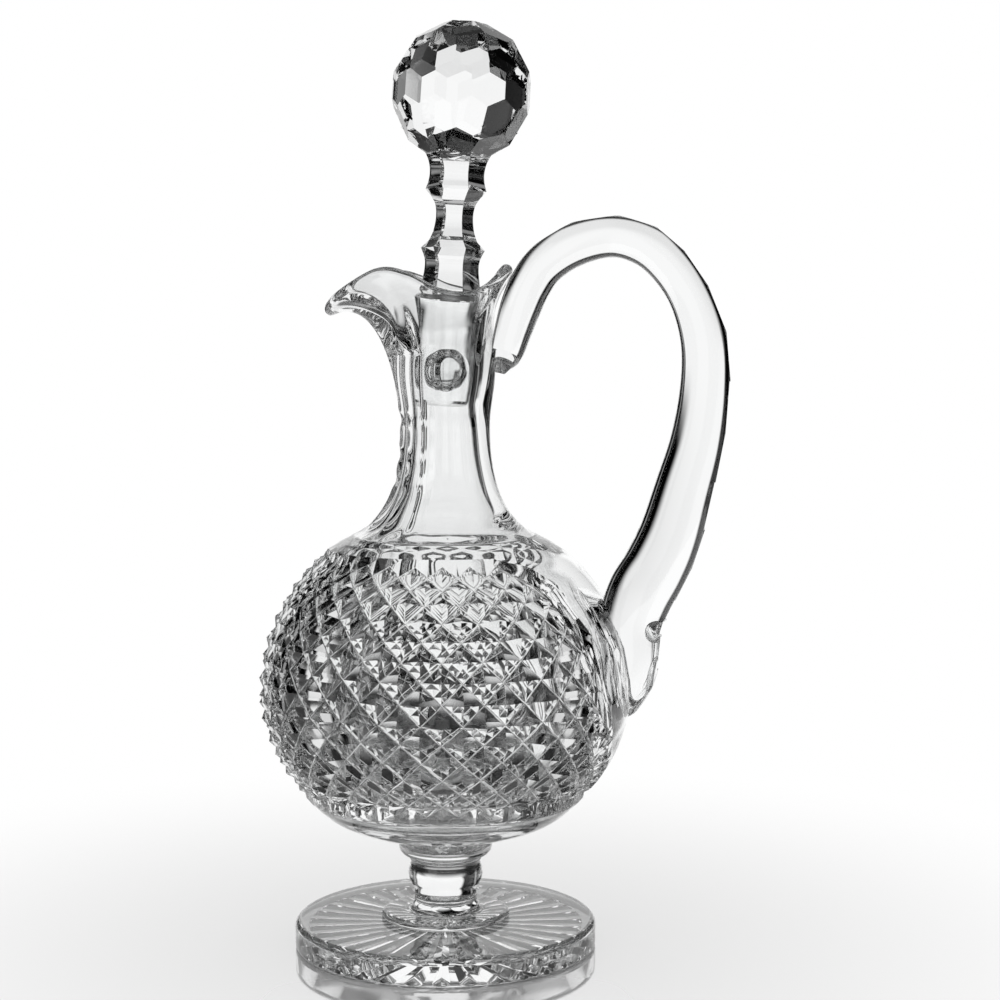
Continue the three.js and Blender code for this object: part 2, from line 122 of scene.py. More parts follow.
@dataclass(frozen=True)
class SmoothLine:
    """A smooth line through points, with even or centripetal spacing of its bends."""

    points: tuple[tuple[float, ...], ...]
    centripetal: bool = False

    def at(self, share: float) -> Vector:
        """The point at a share of the way through the points.

        Args:
            share: 0 at the first point and 1 at the last one.

        Returns:
            The point on the line.
        """
        last = len(self.points) - 1
        place = min(max(share, 0.0), 1.0) * last
        step = min(int(place), last - 1)
        p1, p2 = Vector(self.points[step]), Vector(self.points[step + 1])
        before, after = self._ends(step, last, p1, p2)
        if self.centripetal:
            gaps = [math.sqrt((b - a).length) for a, b in ((before, p1), (p1, p2), (p2, after))]
            out = (p1 - before) / gaps[0] - (p2 - before) / (gaps[0] + gaps[1]) + (p2 - p1) / gaps[1]
            into = (p2 - p1) / gaps[1] - (after - p1) / (gaps[1] + gaps[2]) + (after - p2) / gaps[2]
            out, into = out * gaps[1], into * gaps[1]
        else:
            out, into = (p2 - before) / 2, (after - p1) / 2
        t = place - step
        return (
            p1 * (2 * t**3 - 3 * t**2 + 1) + out * (t**3 - 2 * t**2 + t)
            + p2 * (3 * t**2 - 2 * t**3) + into * (t**3 - t**2)
        )

    def _ends(self, step: int, last: int, p1: Vector, p2: Vector) -> tuple[Vector, Vector]:
        """The points before and after a stretch, made up at the line's two ends.

        Args:
            step: the number of the stretch's first point.
            last: the number of the line's last point.
            p1: the stretch's first point.
            p2: its second point.

        Returns:
            The two points.
        """
        first_end = 2 * p1 - p2 if self.centripetal else p1
        last_end = 2 * p2 - p1 if self.centripetal else p2
        before = Vector(self.points[step - 1]) if step > 0 else first_end
        after = Vector(self.points[step + 2]) if step + 2 <= last else last_end
        return before, after

    def tangent(self, share: float) -> Vector:
        """The unit direction of the line at a share of its way."""
        nudge = 1e-4
        return (self.at(share + nudge) - self.at(share - nudge)).normalized()

    def even_shares(self, count: int = 400) -> Callable[[float], float]:
        """A function that turns a share of the line's length into a share of its points.

        Args:
            count: how many straight steps the line is measured in.

        Returns:
            The function.
        """
        places = [self.at(i / count) for i in range(count + 1)]
        lengths = [0.0]
        for a, b in pairwise(places):
            lengths.append(lengths[-1] + (b - a).length)

        def to_share(length_share: float) -> float:
            """The share of the points at a share of the length.

            Args:
                length_share: the share of the length.

            Returns:
                The share of the points.
            """
            target = min(max(length_share, 0.0), 1.0) * lengths[-1]
            step = min(bisect_right(lengths, target) - 1, count - 1)
            return (step + (target - lengths[step]) / (lengths[step + 1] - lengths[step])) / count

        return to_share

    def length(self, count: int = 400) -> float:
        """The length of the whole line.

        Args:
            count: how many straight steps the line is measured in.

        Returns:
            The length.
        """
        places = [self.at(i / count) for i in range(count + 1)]
        return sum((b - a).length for a, b in pairwise(places))


@dataclass(frozen=True)
class Table:
    """Rows of values against a rising key, read with a smooth curve between the rows."""

    keys: tuple[float, ...]
    rows: tuple[tuple[float, ...], ...]
    flat_ends: bool = True

    def at(self, key: float) -> list[float]:
        """The values at a key.

        Args:
            key: where to read the table. It is kept within the first and last key.

        Returns:
            One value for each column.
        """
        key = min(max(key, self.keys[0]), self.keys[-1])
        step = min(bisect_right(self.keys, key) - 1, len(self.keys) - 2)
        width = self.keys[step + 1] - self.keys[step]
        t = (key - self.keys[step]) / width
        values = []
        for column in range(len(self.rows[0])):
            start, end = self.rows[step][column], self.rows[step + 1][column]
            out, into = self._slope(step, column) * width, self._slope(step + 1, column) * width
            values.append(
                start * (2 * t**3 - 3 * t**2 + 1) + out * (t**3 - 2 * t**2 + t)
                + end * (3 * t**2 - 2 * t**3) + into * (t**3 - t**2)
            )
        return values

    def _slope(self, row: int, column: int) -> float:
        """How fast a column rises at a row: the mean of the rises on both sides.

        Args:
            row: the row's number.
            column: the column's number.

        Returns:
            The rise for each step of the key.
        """
        rises = [
            (self.rows[j + 1][column] - self.rows[j][column]) / (self.keys[j + 1] - self.keys[j])
            for j in (row - 1, row) if 0 <= j < len(self.rows) - 1
        ]
        if len(rises) == 1:
            return 0.0 if self.flat_ends else rises[0]
        return sum(rises) / 2


# The bench: ways to shape and join pieces.


def clear_bench() -> None:
    """Leaves edit mode and deselects everything."""
    if bpy.context.mode != "OBJECT":
        bpy.ops.object.mode_set(mode="OBJECT")
    bpy.ops.object.select_all(action="DESELECT")


def take(piece: Object) -> None:
    """Makes a piece the only selected one, and the active one.

    Args:
        piece: the piece.
    """
    clear_bench()
    piece.select_set(True)
    bpy.context.view_layer.objects.active = piece


@contextmanager
def editing(piece: Object) -> Iterator[None]:
    """Opens a piece in edit mode with nothing selected, and closes it again.

    Args:
        piece: the piece.

    Yields:
        Nothing, while the piece is open.
    """
    take(piece)
    bpy.ops.object.mode_set(mode="EDIT")
    bpy.ops.mesh.select_mode(type="VERT")
    bpy.ops.mesh.select_all(action="DESELECT")
    yield
    bpy.ops.object.mode_set(mode="OBJECT")


def choose(piece: Object, wanted: Callable[[Vector], bool]) -> int:
    """Selects the vertices, in edit mode, whose place is wanted.

    Args:
        piece: the piece in edit mode.
        wanted: True for the places, in millimetres, to select.

    Returns:
        How many vertices are selected.
    """
    shape = bmesh.from_edit_mesh(piece.data)
    for vertex in shape.verts:
        vertex.select = wanted(vertex.co / MM)
    shape.select_flush_mode()
    bmesh.update_edit_mesh(piece.data)
    return sum(vertex.select for vertex in shape.verts)


def lathe(name: str, outline: Sequence[Pair], steps: int, closed: bool = False) -> Object:
    """Turns an outline of radius and height round the axis.

    Args:
        name: the new piece's name.
        outline: radii and heights in millimetres, in order along the outline.
        steps: how many steps go round the axis.
        closed: True if the outline's last point joins its first one.

    Returns:
        The turned piece.
    """
    clear_bench()
    bpy.ops.mesh.primitive_plane_add(size=MM)
    piece = bpy.context.active_object
    piece.name = name
    with editing(piece):
        bpy.ops.mesh.select_all(action="SELECT")
        bpy.ops.mesh.merge(type="CENTER")
        bpy.ops.transform.translate(value=(outline[0][0] * MM, 0, outline[0][1] * MM))
        path = [*outline[1:], *([outline[0]] if closed else [])]
        for (r0, z0), (r1, z1) in zip(outline, path):
            move = ((r1 - r0) * MM, 0, (z1 - z0) * MM)
            bpy.ops.mesh.extrude_region_move(TRANSFORM_OT_translate={"value": move})
        bpy.ops.mesh.select_all(action="SELECT")
        bpy.ops.mesh.remove_doubles(threshold=WELD * MM)
        bpy.ops.mesh.select_all(action="SELECT")
        bpy.ops.mesh.spin(steps=steps, angle=FULL_TURN, center=(0, 0, 0), axis=(0, 0, 1))
        weld_and_turn_out()
    return piece


def weld_and_turn_out() -> None:
    """Merges doubles of the piece in edit mode and turns its faces outwards."""
    bpy.ops.mesh.select_all(action="SELECT")
    bpy.ops.mesh.remove_doubles(threshold=WELD * MM)
    bpy.ops.mesh.select_all(action="SELECT")
    bpy.ops.mesh.normals_make_consistent(inside=False)


def join(piece: Object, *others: Object) -> Object:
    """Joins other objects into a piece and returns it.

    Args:
        piece: the piece that takes them in.
        others: the objects that become part of it.

    Returns:
        The piece.
    """
    take(piece)
    for other in others:
        other.select_set(True)
    bpy.ops.object.join()
    return piece


def duplicate(piece: Object, name: str) -> Object:
    """Copies a piece with a mesh of its own.

    Args:
        piece: the piece.
        name: the copy's name.

    Returns:
        The copy.
    """
    take(piece)
    bpy.ops.object.duplicate(linked=False)
    copied = bpy.context.active_object
    copied.name = name
    return copied


def combine(piece: Object, tool: Object, how: str) -> None:
    """Cuts a piece with a tool, or adds the tool to it.

    Args:
        piece: the piece that changes.
        tool: the closed solid that cuts or joins. It is used up.
        how: DIFFERENCE, INTERSECT or UNION.
    """
    take(piece)
    cut = piece.modifiers.new("cut", "BOOLEAN")
    cut.operation = how
    cut.solver = "EXACT"
    cut.object = tool
    cut.material_mode = "TRANSFER"
    bpy.ops.object.modifier_apply(modifier=cut.name)
    drop(tool)


def drop(piece: Object) -> None:
    """Removes a scratch object and its mesh.

    Args:
        piece: the scratch object.
    """
    mesh = piece.data
    bpy.data.objects.remove(piece)
    bpy.data.meshes.remove(mesh)


def pebble(name: str, radii: Sequence[float], place: Vector, facing: Vector, along: Vector) -> Object:
    """An oval wheel, as a scaled sphere, that takes an olive or thumb cut.

    Args:
        name: the tool's name.
        radii: its half sizes along the cut, across it and into the glass.
        place: its middle in millimetres.
        facing: the direction that its third size lies in.
        along: the direction that its first size lies in.

    Returns:
        The tool.
    """
    clear_bench()
    bpy.ops.mesh.primitive_uv_sphere_add(
        segments=WHEEL_SEGMENTS, ring_count=WHEEL_SEGMENTS // 2, radius=MM)
    tool = bpy.context.active_object
    tool.name = name
    out = facing.normalized()
    side = out.cross(along).normalized()
    first = side.cross(out)
    turn = Matrix((first, side, out)).transposed().to_4x4()
    tool.matrix_world = Matrix.Translation(place * MM) @ turn @ Matrix.Diagonal((*radii, 1))
    settle(tool)
    return tool


def block(name: str, sizes: Sequence[float], place: Vector, turn: Matrix) -> Object:
    """A block-shaped wheel that takes a flat cut.

    Args:
        name: the tool's name.
        sizes: its sizes in millimetres along its own axes.
        place: its middle in millimetres.
        turn: how it is turned.

    Returns:
        The tool.
    """
    clear_bench()
    bpy.ops.mesh.primitive_cube_add(size=MM)
    tool = bpy.context.active_object
    tool.name = name
    tool.matrix_world = Matrix.Translation(place * MM) @ turn @ Matrix.Diagonal((*sizes, 1))
    settle(tool)
    return tool


def settle(piece: Object) -> None:
    """Puts a piece's place, turn and scale into its mesh.

    Args:
        piece: the piece.
    """
    take(piece)
    bpy.ops.object.transform_apply(location=True, rotation=True, scale=True)


def choose_open_edges(piece: Object) -> None:
    """Selects the open edges of the piece in edit mode.

    Args:
        piece: the piece.
    """
    bpy.ops.mesh.select_mode(type="EDGE")
    shape = bmesh.from_edit_mesh(piece.data)
    for edge in shape.edges:
        edge.select_set(edge.is_boundary)
    bmesh.update_edit_mesh(piece.data)


def drawn(name: str, rings: Sequence[Sequence[Vector]], looped: bool = False) -> Object:
    """A solid drawn through rings of places.

    Args:
        name: the solid's name.
        rings: its rings in millimetres, all with as many places.
        looped: True if the last ring leads back to the first, False to close both ends.

    Returns:
        The solid.
    """
    sides = len(rings[0])
    piece = lathe(name, [(BLANK_RADIUS, i) for i in range(len(rings))], sides)
    with editing(piece):
        shape = bmesh.from_edit_mesh(piece.data)
        for vertex in shape.verts:
            turn = math.atan2(vertex.co.y, vertex.co.x)
            vertex.co = rings[round(vertex.co.z / MM)][round(turn / FULL_TURN * sides) % sides] * MM
        bmesh.update_edit_mesh(piece.data)
        choose_open_edges(piece)
        if looped:
            bpy.ops.mesh.bridge_edge_loops()
        else:
            bpy.ops.mesh.edge_face_add()
        bpy.ops.mesh.select_mode(type="VERT")
        weld_and_turn_out()
    return piece


def smooth(piece: Object, degrees: float) -> None:
    """Smooth shading, with sharp edges where faces meet at more than an angle.

    Args:
        piece: the piece.
        degrees: the angle.
    """
    take(piece)
    bpy.ops.object.shade_smooth_by_angle(angle=math.radians(degrees), keep_sharp_edges=False)


def paint(piece: Object, face: Face, wanted: Callable[[Vector, Vector], bool]) -> None:
    """Gives a piece's faces one of its materials.

    Args:
        piece: the piece, in object mode.
        face: the material that the faces get.
        wanted: True for the middles, in millimetres, and normals of these faces.
    """
    for polygon in piece.data.polygons:
        if wanted(polygon.center / MM, polygon.normal):
            polygon.material_index = face.value


# Finishes.


@dataclass(frozen=True)
class Surface:
    """The fine surface that a material's glass has, made by a shared node group."""

    tint: Triple = (0.985, 0.99, 0.99)
    haze: float = 0.012
    haze_size: float = 60.0
    wave: float = 0.000015
    wave_size: float = 45.0

    GROUP_NAME = "glass_surface"
    WAVE_DETAIL = 1.5
    HAZE_DETAIL = 3.0
    HAZE_BAND = (0.42, 0.75)
    HAZE_TINT = (0.975, 0.98, 0.98, 1)

    @classmethod
    def group(cls) -> NodeTree:
        """The shared group: tint, polish and slow waves from the piece's own coordinates.

        Returns:
            The group.
        """
        found = bpy.data.node_groups.get(cls.GROUP_NAME)
        if found:
            return found
        tree = bpy.data.node_groups.new(cls.GROUP_NAME, "ShaderNodeTree")
        for name, kind in (
            ("Place", "NodeSocketVector"), ("Tint", "NodeSocketColor"), ("Haze", "NodeSocketFloat"),
            ("Haze Size", "NodeSocketFloat"), ("Wave", "NodeSocketFloat"),
            ("Wave Size", "NodeSocketFloat"),
        ):
            tree.interface.new_socket(name=name, in_out="INPUT", socket_type=kind)
        for name, kind in (
            ("Color", "NodeSocketColor"), ("Roughness", "NodeSocketFloat"),
            ("Normal", "NodeSocketVector"),
        ):
            tree.interface.new_socket(name=name, in_out="OUTPUT", socket_type=kind)
        add, link = tree.nodes.new, tree.links.new
        given, result = add("NodeGroupInput"), add("NodeGroupOutput")

        slow = add("ShaderNodeTexNoise")
        slow.inputs["Detail"].default_value = cls.WAVE_DETAIL
        link(given.outputs["Place"], slow.inputs["Vector"])
        link(given.outputs["Wave Size"], slow.inputs["Scale"])
        bump = add("ShaderNodeBump")
        link(slow.outputs["Fac"], bump.inputs["Height"])
        link(given.outputs["Wave"], bump.inputs["Distance"])
        link(bump.outputs["Normal"], result.inputs["Normal"])

        polish = add("ShaderNodeTexNoise")
        polish.inputs["Detail"].default_value = cls.HAZE_DETAIL
        link(given.outputs["Place"], polish.inputs["Vector"])
        link(given.outputs["Haze Size"], polish.inputs["Scale"])
        rough = add("ShaderNodeMapRange")
        for name, value in zip(("From Min", "From Max"), cls.HAZE_BAND):
            rough.inputs[name].default_value = value
        link(polish.outputs["Fac"], rough.inputs["Value"])
        link(given.outputs["Haze"], rough.inputs["To Max"])
        link(rough.outputs["Result"], result.inputs["Roughness"])

        deeper = add("ShaderNodeMix")
        deeper.data_type = "RGBA"
        deeper.blend_type = "MULTIPLY"
        deeper.inputs["B"].default_value = cls.HAZE_TINT
        link(rough.outputs["Result"], deeper.inputs["Factor"])
        link(given.outputs["Tint"], deeper.inputs["A"])
        link(deeper.outputs["Result"], result.inputs["Color"])
        return tree


@dataclass(frozen=True)
class GlassFinish:
    """Lead crystal: clear glass that bends light, with the surface its maker left on it."""

    name: str
    surface: Surface
    ior: float = 1.55

    def material(self) -> Material:
        """The finish as a material, made once.

        Returns:
            The material.
        """
        found = bpy.data.materials.get(self.name)
        if found:
            return found
        made = bpy.data.materials.new(self.name)
        made.use_nodes = True
        tree = made.node_tree
        shader = tree.nodes["Principled BSDF"]
        shader.inputs["Transmission Weight"].default_value = 1.0
        shader.inputs["IOR"].default_value = self.ior
        place = tree.nodes.new("ShaderNodeTexCoord")
        group = tree.nodes.new("ShaderNodeGroup")
        group.node_tree = Surface.group()
        tree.links.new(place.outputs["Object"], group.inputs["Place"])
        given = self.surface
        for name, value in (
            ("Tint", (*given.tint, 1)), ("Haze", given.haze), ("Haze Size", given.haze_size),
            ("Wave", given.wave), ("Wave Size", given.wave_size),
        ):
            group.inputs[name].default_value = value
        for name, socket in (("Color", "Base Color"), ("Roughness", "Roughness"), ("Normal", "Normal")):
            tree.links.new(group.outputs[name], shader.inputs[socket])
        return made


@dataclass(frozen=True)
class BondFinish:
    """Where two gathers were fused hot: no surface is left, so light goes straight through."""

    name: str = "fused_joint"

    def material(self) -> Material:
        """The finish as a material, made once.

        Returns:
            The material.
        """
        found = bpy.data.materials.get(self.name)
        if found:
            return found
        made = bpy.data.materials.new(self.name)
        made.use_nodes = True
        shader = made.node_tree.nodes["Principled BSDF"]
        shader.inputs["Alpha"].default_value = 0.0
        shader.inputs["Transmission Weight"].default_value = 1.0
        return made


CUT_POLISH = GlassFinish("cut_crystal_polished", Surface(haze=0.01, wave=0.000004, wave_size=220.0))
FIRE_POLISH = GlassFinish("clear_crystal_fired", Surface(haze=0.008, wave=0.00004, wave_size=38.0))
FACET_POLISH = GlassFinish(
    "stopper_crystal_faceted", Surface(haze=0.008, wave=0.000002, wave_size=150.0)
)
GROUND_SEAT = GlassFinish(
    "ground_seat", Surface(haze=0.03, haze_size=300.0, wave=0.000002, wave_size=300.0)
)
BOND = BondFinish()


def dress(piece: Object, finish: GlassFinish, slot: Slot, body: Body, *nodes: str) -> None:
    """Gives a finished piece its materials and body, and hides the CAD nodes that it stands for.

    Args:
        piece: the finished piece.
        finish: the glass of its open faces.
        slot: the record's slot for its finish; not used.
        body: the body that it moves with.
        nodes: the CAD nodes that it stands for.
    """
    for layer, wanted in zip(Face, (finish, BOND, GROUND_SEAT)):
        while len(piece.data.materials) <= layer.value:
            piece.data.materials.append(None)
        piece.data.materials[layer.value] = wanted.material()
    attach(piece, body.value)
    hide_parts(*nodes)
    piece.data.calc_loop_triangles()
    triangles = len(piece.data.loop_triangles)
    LOG.info("%s: %d triangles for %s", piece.name, triangles, ", ".join(nodes))


def number_faces(piece: Object, face: Face = Face.GLASS) -> None:
    """Gives a piece plain numbered material slots, all of its faces in one of them.

    Args:
        piece: the piece.
        face: the slot that its faces get.
    """
    marks = [
        bpy.data.materials.get(f"mark_{layer.name}") or bpy.data.materials.new(f"mark_{layer.name}")
        for layer in Face
    ]
    piece.data.materials.clear()
    for mark in marks:
        piece.data.materials.append(mark)
    for polygon in piece.data.polygons:
        polygon.material_index = face.value


# Shared outlines.


@dataclass(frozen=True)
class Drawing:
    """The heights and radii that the pieces share."""

    foot_radius: float = 51.5
    foot_top: float = 9.3
    wafer_radius: float = 22.0
    wafer_top: float = 12.3
    knop_top: float = 29.3
    bowl_base: float = 37.9
    bowl_radius: float = 63.4
    bowl_wall: float = 5.4
    shoulder: float = 138.8
    throat: float = 189.8
    mouth: float = 221.8
    neck_radius: float = 15.2
    throat_radius: float = 16.6
    mouth_radius: float = 17.6
    seat: float = 186.3
    pivot: float = 189.3
    plug_length: float = 35.5
    plug_top_radius: float = 11.8
    plug_bottom_radius: float = 8.3
    stopper_fit: float = 0.3
    lean: float = math.radians(3.4)
    round_steps: int = 168
    wafer_joint: float = 20.5
    knop_joint: float = 12.5
    stem_joint: float = 11.9
    bowl_joint: float = 14.4
    olive_low: Triple = (36.6, 10.8, 137.1)
    olive_high: Triple = (24.4, 15.3, 142.5)
    olive_wheel: Triple = (6.4, 3.4, 3.4)
    olive_slope: Pair = (0.62, 0.78)

    bowl_shares: tuple[Pair, ...] = (
        (0.33, 0), (0.63, 0.075), (0.872, 0.24), (0.98, 0.4), (1, 0.51), (0.957, 0.68),
        (0.828, 0.84), (0.685, 0.945), (0.56, 1),
    )

    @property
    def bowl_height(self) -> float:
        """From the collar to the shoulder."""
        return self.shoulder - self.bowl_base

    @property
    def shoulder_radius(self) -> float:
        """Where the bowl meets the neck."""
        return self.bowl_shares[-1][0] * self.bowl_radius

    def bowl_line(self) -> SmoothLine:
        """The bowl's outline, from the collar to the shoulder."""
        return SmoothLine(tuple(
            (r * self.bowl_radius, self.bowl_base + h * self.bowl_height) for r, h in self.bowl_shares
        ))

    def seat_radius(self, turn: float, height: float) -> float:
        """The radius of the leaning ground seat at an angle and a height.

        Args:
            turn: the angle.
            height: the height.

        Returns:
            The radius.
        """
        share = (height - self.seat) / self.plug_length
        radius = lerp(self.plug_bottom_radius, self.plug_top_radius, share) + self.stopper_fit
        shift = (height - self.pivot) * math.tan(self.lean)
        return shift * math.cos(turn) + math.sqrt(radius**2 - (shift * math.sin(turn)) ** 2)


DRAWING = Drawing()


def curve_through(points: Sequence[Pair], per_stretch: int) -> list[Pair]:
    """A smooth outline through points.

    Args:
        points: radii and heights in millimetres.
        per_stretch: how many steps lie between two points.

    Returns:
        The outline's points, the first and last ones as given.
    """
    line = SmoothLine(tuple(points))
    count = (len(points) - 1) * per_stretch
    return [tuple(line.at(i / count)) for i in range(count + 1)]


def shoulder_olive(side: int) -> Object:
    """The wheel for the olive cut that crosses from the panel to the neck.

    Args:
        side: 1 for the far side of the handle, -1 for the near side.

    Returns:
        The tool.
    """
    d = DRAWING
    low, high = (Vector((x, side * y, z)) for x, y, z in (d.olive_low, d.olive_high))
    middle = (low + high) / 2
    level, rise = d.olive_slope
    facing = Vector((level * middle.x, level * middle.y, rise * middle.xy.length))
    return pebble("olive_wheel", d.olive_wheel, middle, facing, low - high)


# Foot and stem.


@dataclass
class FootAndStem:
    """The thick foot with its star, the wafer, the knop and the collar."""

    edge: float = 2.2
    low_edge_share: float = 0.6
    top_rings: Pair = (38.0, 28.0)
    corner_degrees: range = range(0, 91, 15)
    curve_steps: int = 5
    foot_crease: float = 20.0
    stem_crease: float = 40.0
    star_rays: int = 32
    ray_rises: tuple[float, ...] = (0, 0, 0.5, 1, 0.5, 0)
    star_inner: float = 2.5
    star_outer: float = 46.5
    star_depth: float = 1.7
    star_slack: float = 0.05
    star_ring_shares: tuple[float, ...] = (0.0, 0.12, 0.3, 0.5, 0.7, 0.86, 0.94, 0.98, 1.0)
    star_depth_shares: tuple[float, ...] = (0.1, 0.2, 0.38, 0.56, 0.78, 0.95, 1.0, 0.7, 0.0)
    wafer_top_radius: float = 13.0

    wafer_bends: tuple[Pair, ...] = (
        (21.75, 9.75), (DRAWING.wafer_radius, 10.5), (21.5, 11.35), (20.2, 11.85), (17, 12.0),
        (14.3, 12.08),
    )
    knop_bends: tuple[Pair, ...] = (
        (11.6, 12.9), (10.95, 14.2), (10.6, 16.4), (10.75, 18.6), (11.5, 20.8), (12.45, 22.9),
        (12.8, 24.9), (12.55, 26.8), (11.95, 28.4),
    )
    collar_bends: tuple[Pair, ...] = (
        (12.4, 29.75), (12.1, 30.3), (12.5, 30.8), (14.2, 31.3), (15.5, 32.5), (16.0, 34.1),
        (15.6, 35.6), (14.3, 36.7), (13.7, 37.3),
    )

    def foot(self) -> Object:
        """The foot: a turned disc with rounded edges, and a star of mitre cuts beneath.

        Returns:
            The foot.
        """
        d = DRAWING
        radii = [lerp(self.star_inner, self.star_outer, share) for share in self.star_ring_shares]
        low = self._corner(self.edge * self.low_edge_share, 0, 1)
        high = self._corner(self.edge, d.foot_top, -1)
        tops = (*self.top_rings, d.wafer_joint, 0)
        outline = [
            (0, 0), *((radius, 0) for radius in radii), *low, *reversed(high),
            *((radius, d.foot_top) for radius in tops),
        ]
        steps = self.star_rays * len(self.ray_rises)
        piece = lathe("foot_disc", outline, steps)
        with editing(piece):
            for radius, share in zip(radii, self.star_depth_shares):
                for column, rise in enumerate(self.ray_rises):
                    self._raise(piece, radius, column, steps, self.star_depth * share * rise)
            weld_and_turn_out()
        number_faces(piece)
        paint(piece, Face.BOND, lambda at, n: at.z > d.foot_top - WELD and at.xy.length < d.wafer_joint)
        smooth(piece, self.foot_crease)
        return piece

    def _corner(self, round_radius: float, level: float, way: int) -> list[Pair]:
        """The rounded corner of the foot, from its flat face to its rim.

        Args:
            round_radius: the radius of the round.
            level: the height of the flat face.
            way: 1 if the rim lies above that face, -1 if it lies below it.

        Returns:
            Its radii and heights.
        """
        middle = DRAWING.foot_radius - round_radius
        angles = [math.radians(a) for a in self.corner_degrees]
        return [
            (middle + round_radius * math.sin(a), level + way * round_radius * (1 - math.cos(a)))
            for a in angles
        ]

    def _raise(self, piece: Object, radius: float, column: int, steps: int, rise: float) -> None:
        """Lifts one column of every ray of the star, at one radius, by a height.

        Args:
            piece: the foot in edit mode.
            radius: the ring that the vertices lie on.
            column: the column's number within its ray.
            steps: how many columns go all round.
            rise: the height.
        """
        if rise <= 0:
            return
        per_ray = len(self.ray_rises)

        def in_column(at: Vector) -> bool:
            """True for the star's vertices at this radius and column.

            Args:
                at: the vertex's place.

            Returns:
                Whether it is lifted.
            """
            turn = math.atan2(at.y, at.x) / FULL_TURN * steps
            at_radius = at.z < DRAWING.foot_top / 2 and abs(at.xy.length - radius) < self.star_slack
            return at_radius and round(turn) % per_ray == column

        choose(piece, in_column)
        bpy.ops.transform.translate(value=(0, 0, rise * MM))

    def turned_piece(self, name: str, outline: Sequence[Pair], low: float, high: float) -> Object:
        """A turned piece of the stem whose flat ends are fused to its neighbours.

        Args:
            name: the piece's name.
            outline: the radii and heights of its open side, from its foot up.
            low: the radius of its lower joint.
            high: the radius of its upper joint.

        Returns:
            The piece.
        """
        bottom, top = outline[0][1], outline[-1][1]
        ends = [(low, bottom)] if low < outline[0][0] else []
        tops = [(high, top)] if high < outline[-1][0] else []
        piece = lathe(name, [(0, bottom), *ends, *outline, *tops, (0, top)], DRAWING.round_steps)
        number_faces(piece)

        def is_joint(at: Vector, normal: Vector) -> bool:
            """True for the faces that touch the neighbour.

            Args:
                at: the face's middle.
                normal: its normal.

            Returns:
                Whether it is fused.
            """
            at_bottom = abs(at.z - bottom) < WELD and at.xy.length < low
            return at_bottom or (abs(at.z - top) < WELD and at.xy.length < high)

        paint(piece, Face.BOND, is_joint)
        smooth(piece, self.stem_crease)
        return piece

    def stem(self) -> None:
        """Makes and dresses the wafer with its soft edge, the barrel-shaped knop and the collar."""
        d = DRAWING
        for name, node, points, low, high in (
            ("foot_wafer_ring", "foot_wafer",
             [(d.wafer_joint, d.foot_top), *self.wafer_bends, (self.wafer_top_radius, d.wafer_top)],
             d.wafer_joint, d.knop_joint),
            ("stem_knop_barrel", "stem_knop",
             [(d.knop_joint, d.wafer_top), *self.knop_bends, (d.stem_joint, d.knop_top)],
             d.knop_joint, d.stem_joint),
            ("stem_collar_ring", "stem_collar",
             [(d.stem_joint, d.knop_top), *self.collar_bends, (d.bowl_joint, d.bowl_base)],
             d.stem_joint, d.bowl_joint),
        ):
            piece = self.turned_piece(name, curve_through(points, self.curve_steps), low, high)
            dress(piece, FIRE_POLISH, Slot.CLEAR, Body.DECANTER, node)

    def build(self) -> None:
        """Makes and dresses all four pieces."""
        dress(self.foot(), CUT_POLISH, Slot.CUT, Body.DECANTER, "foot")
        self.stem()


# Bowl.


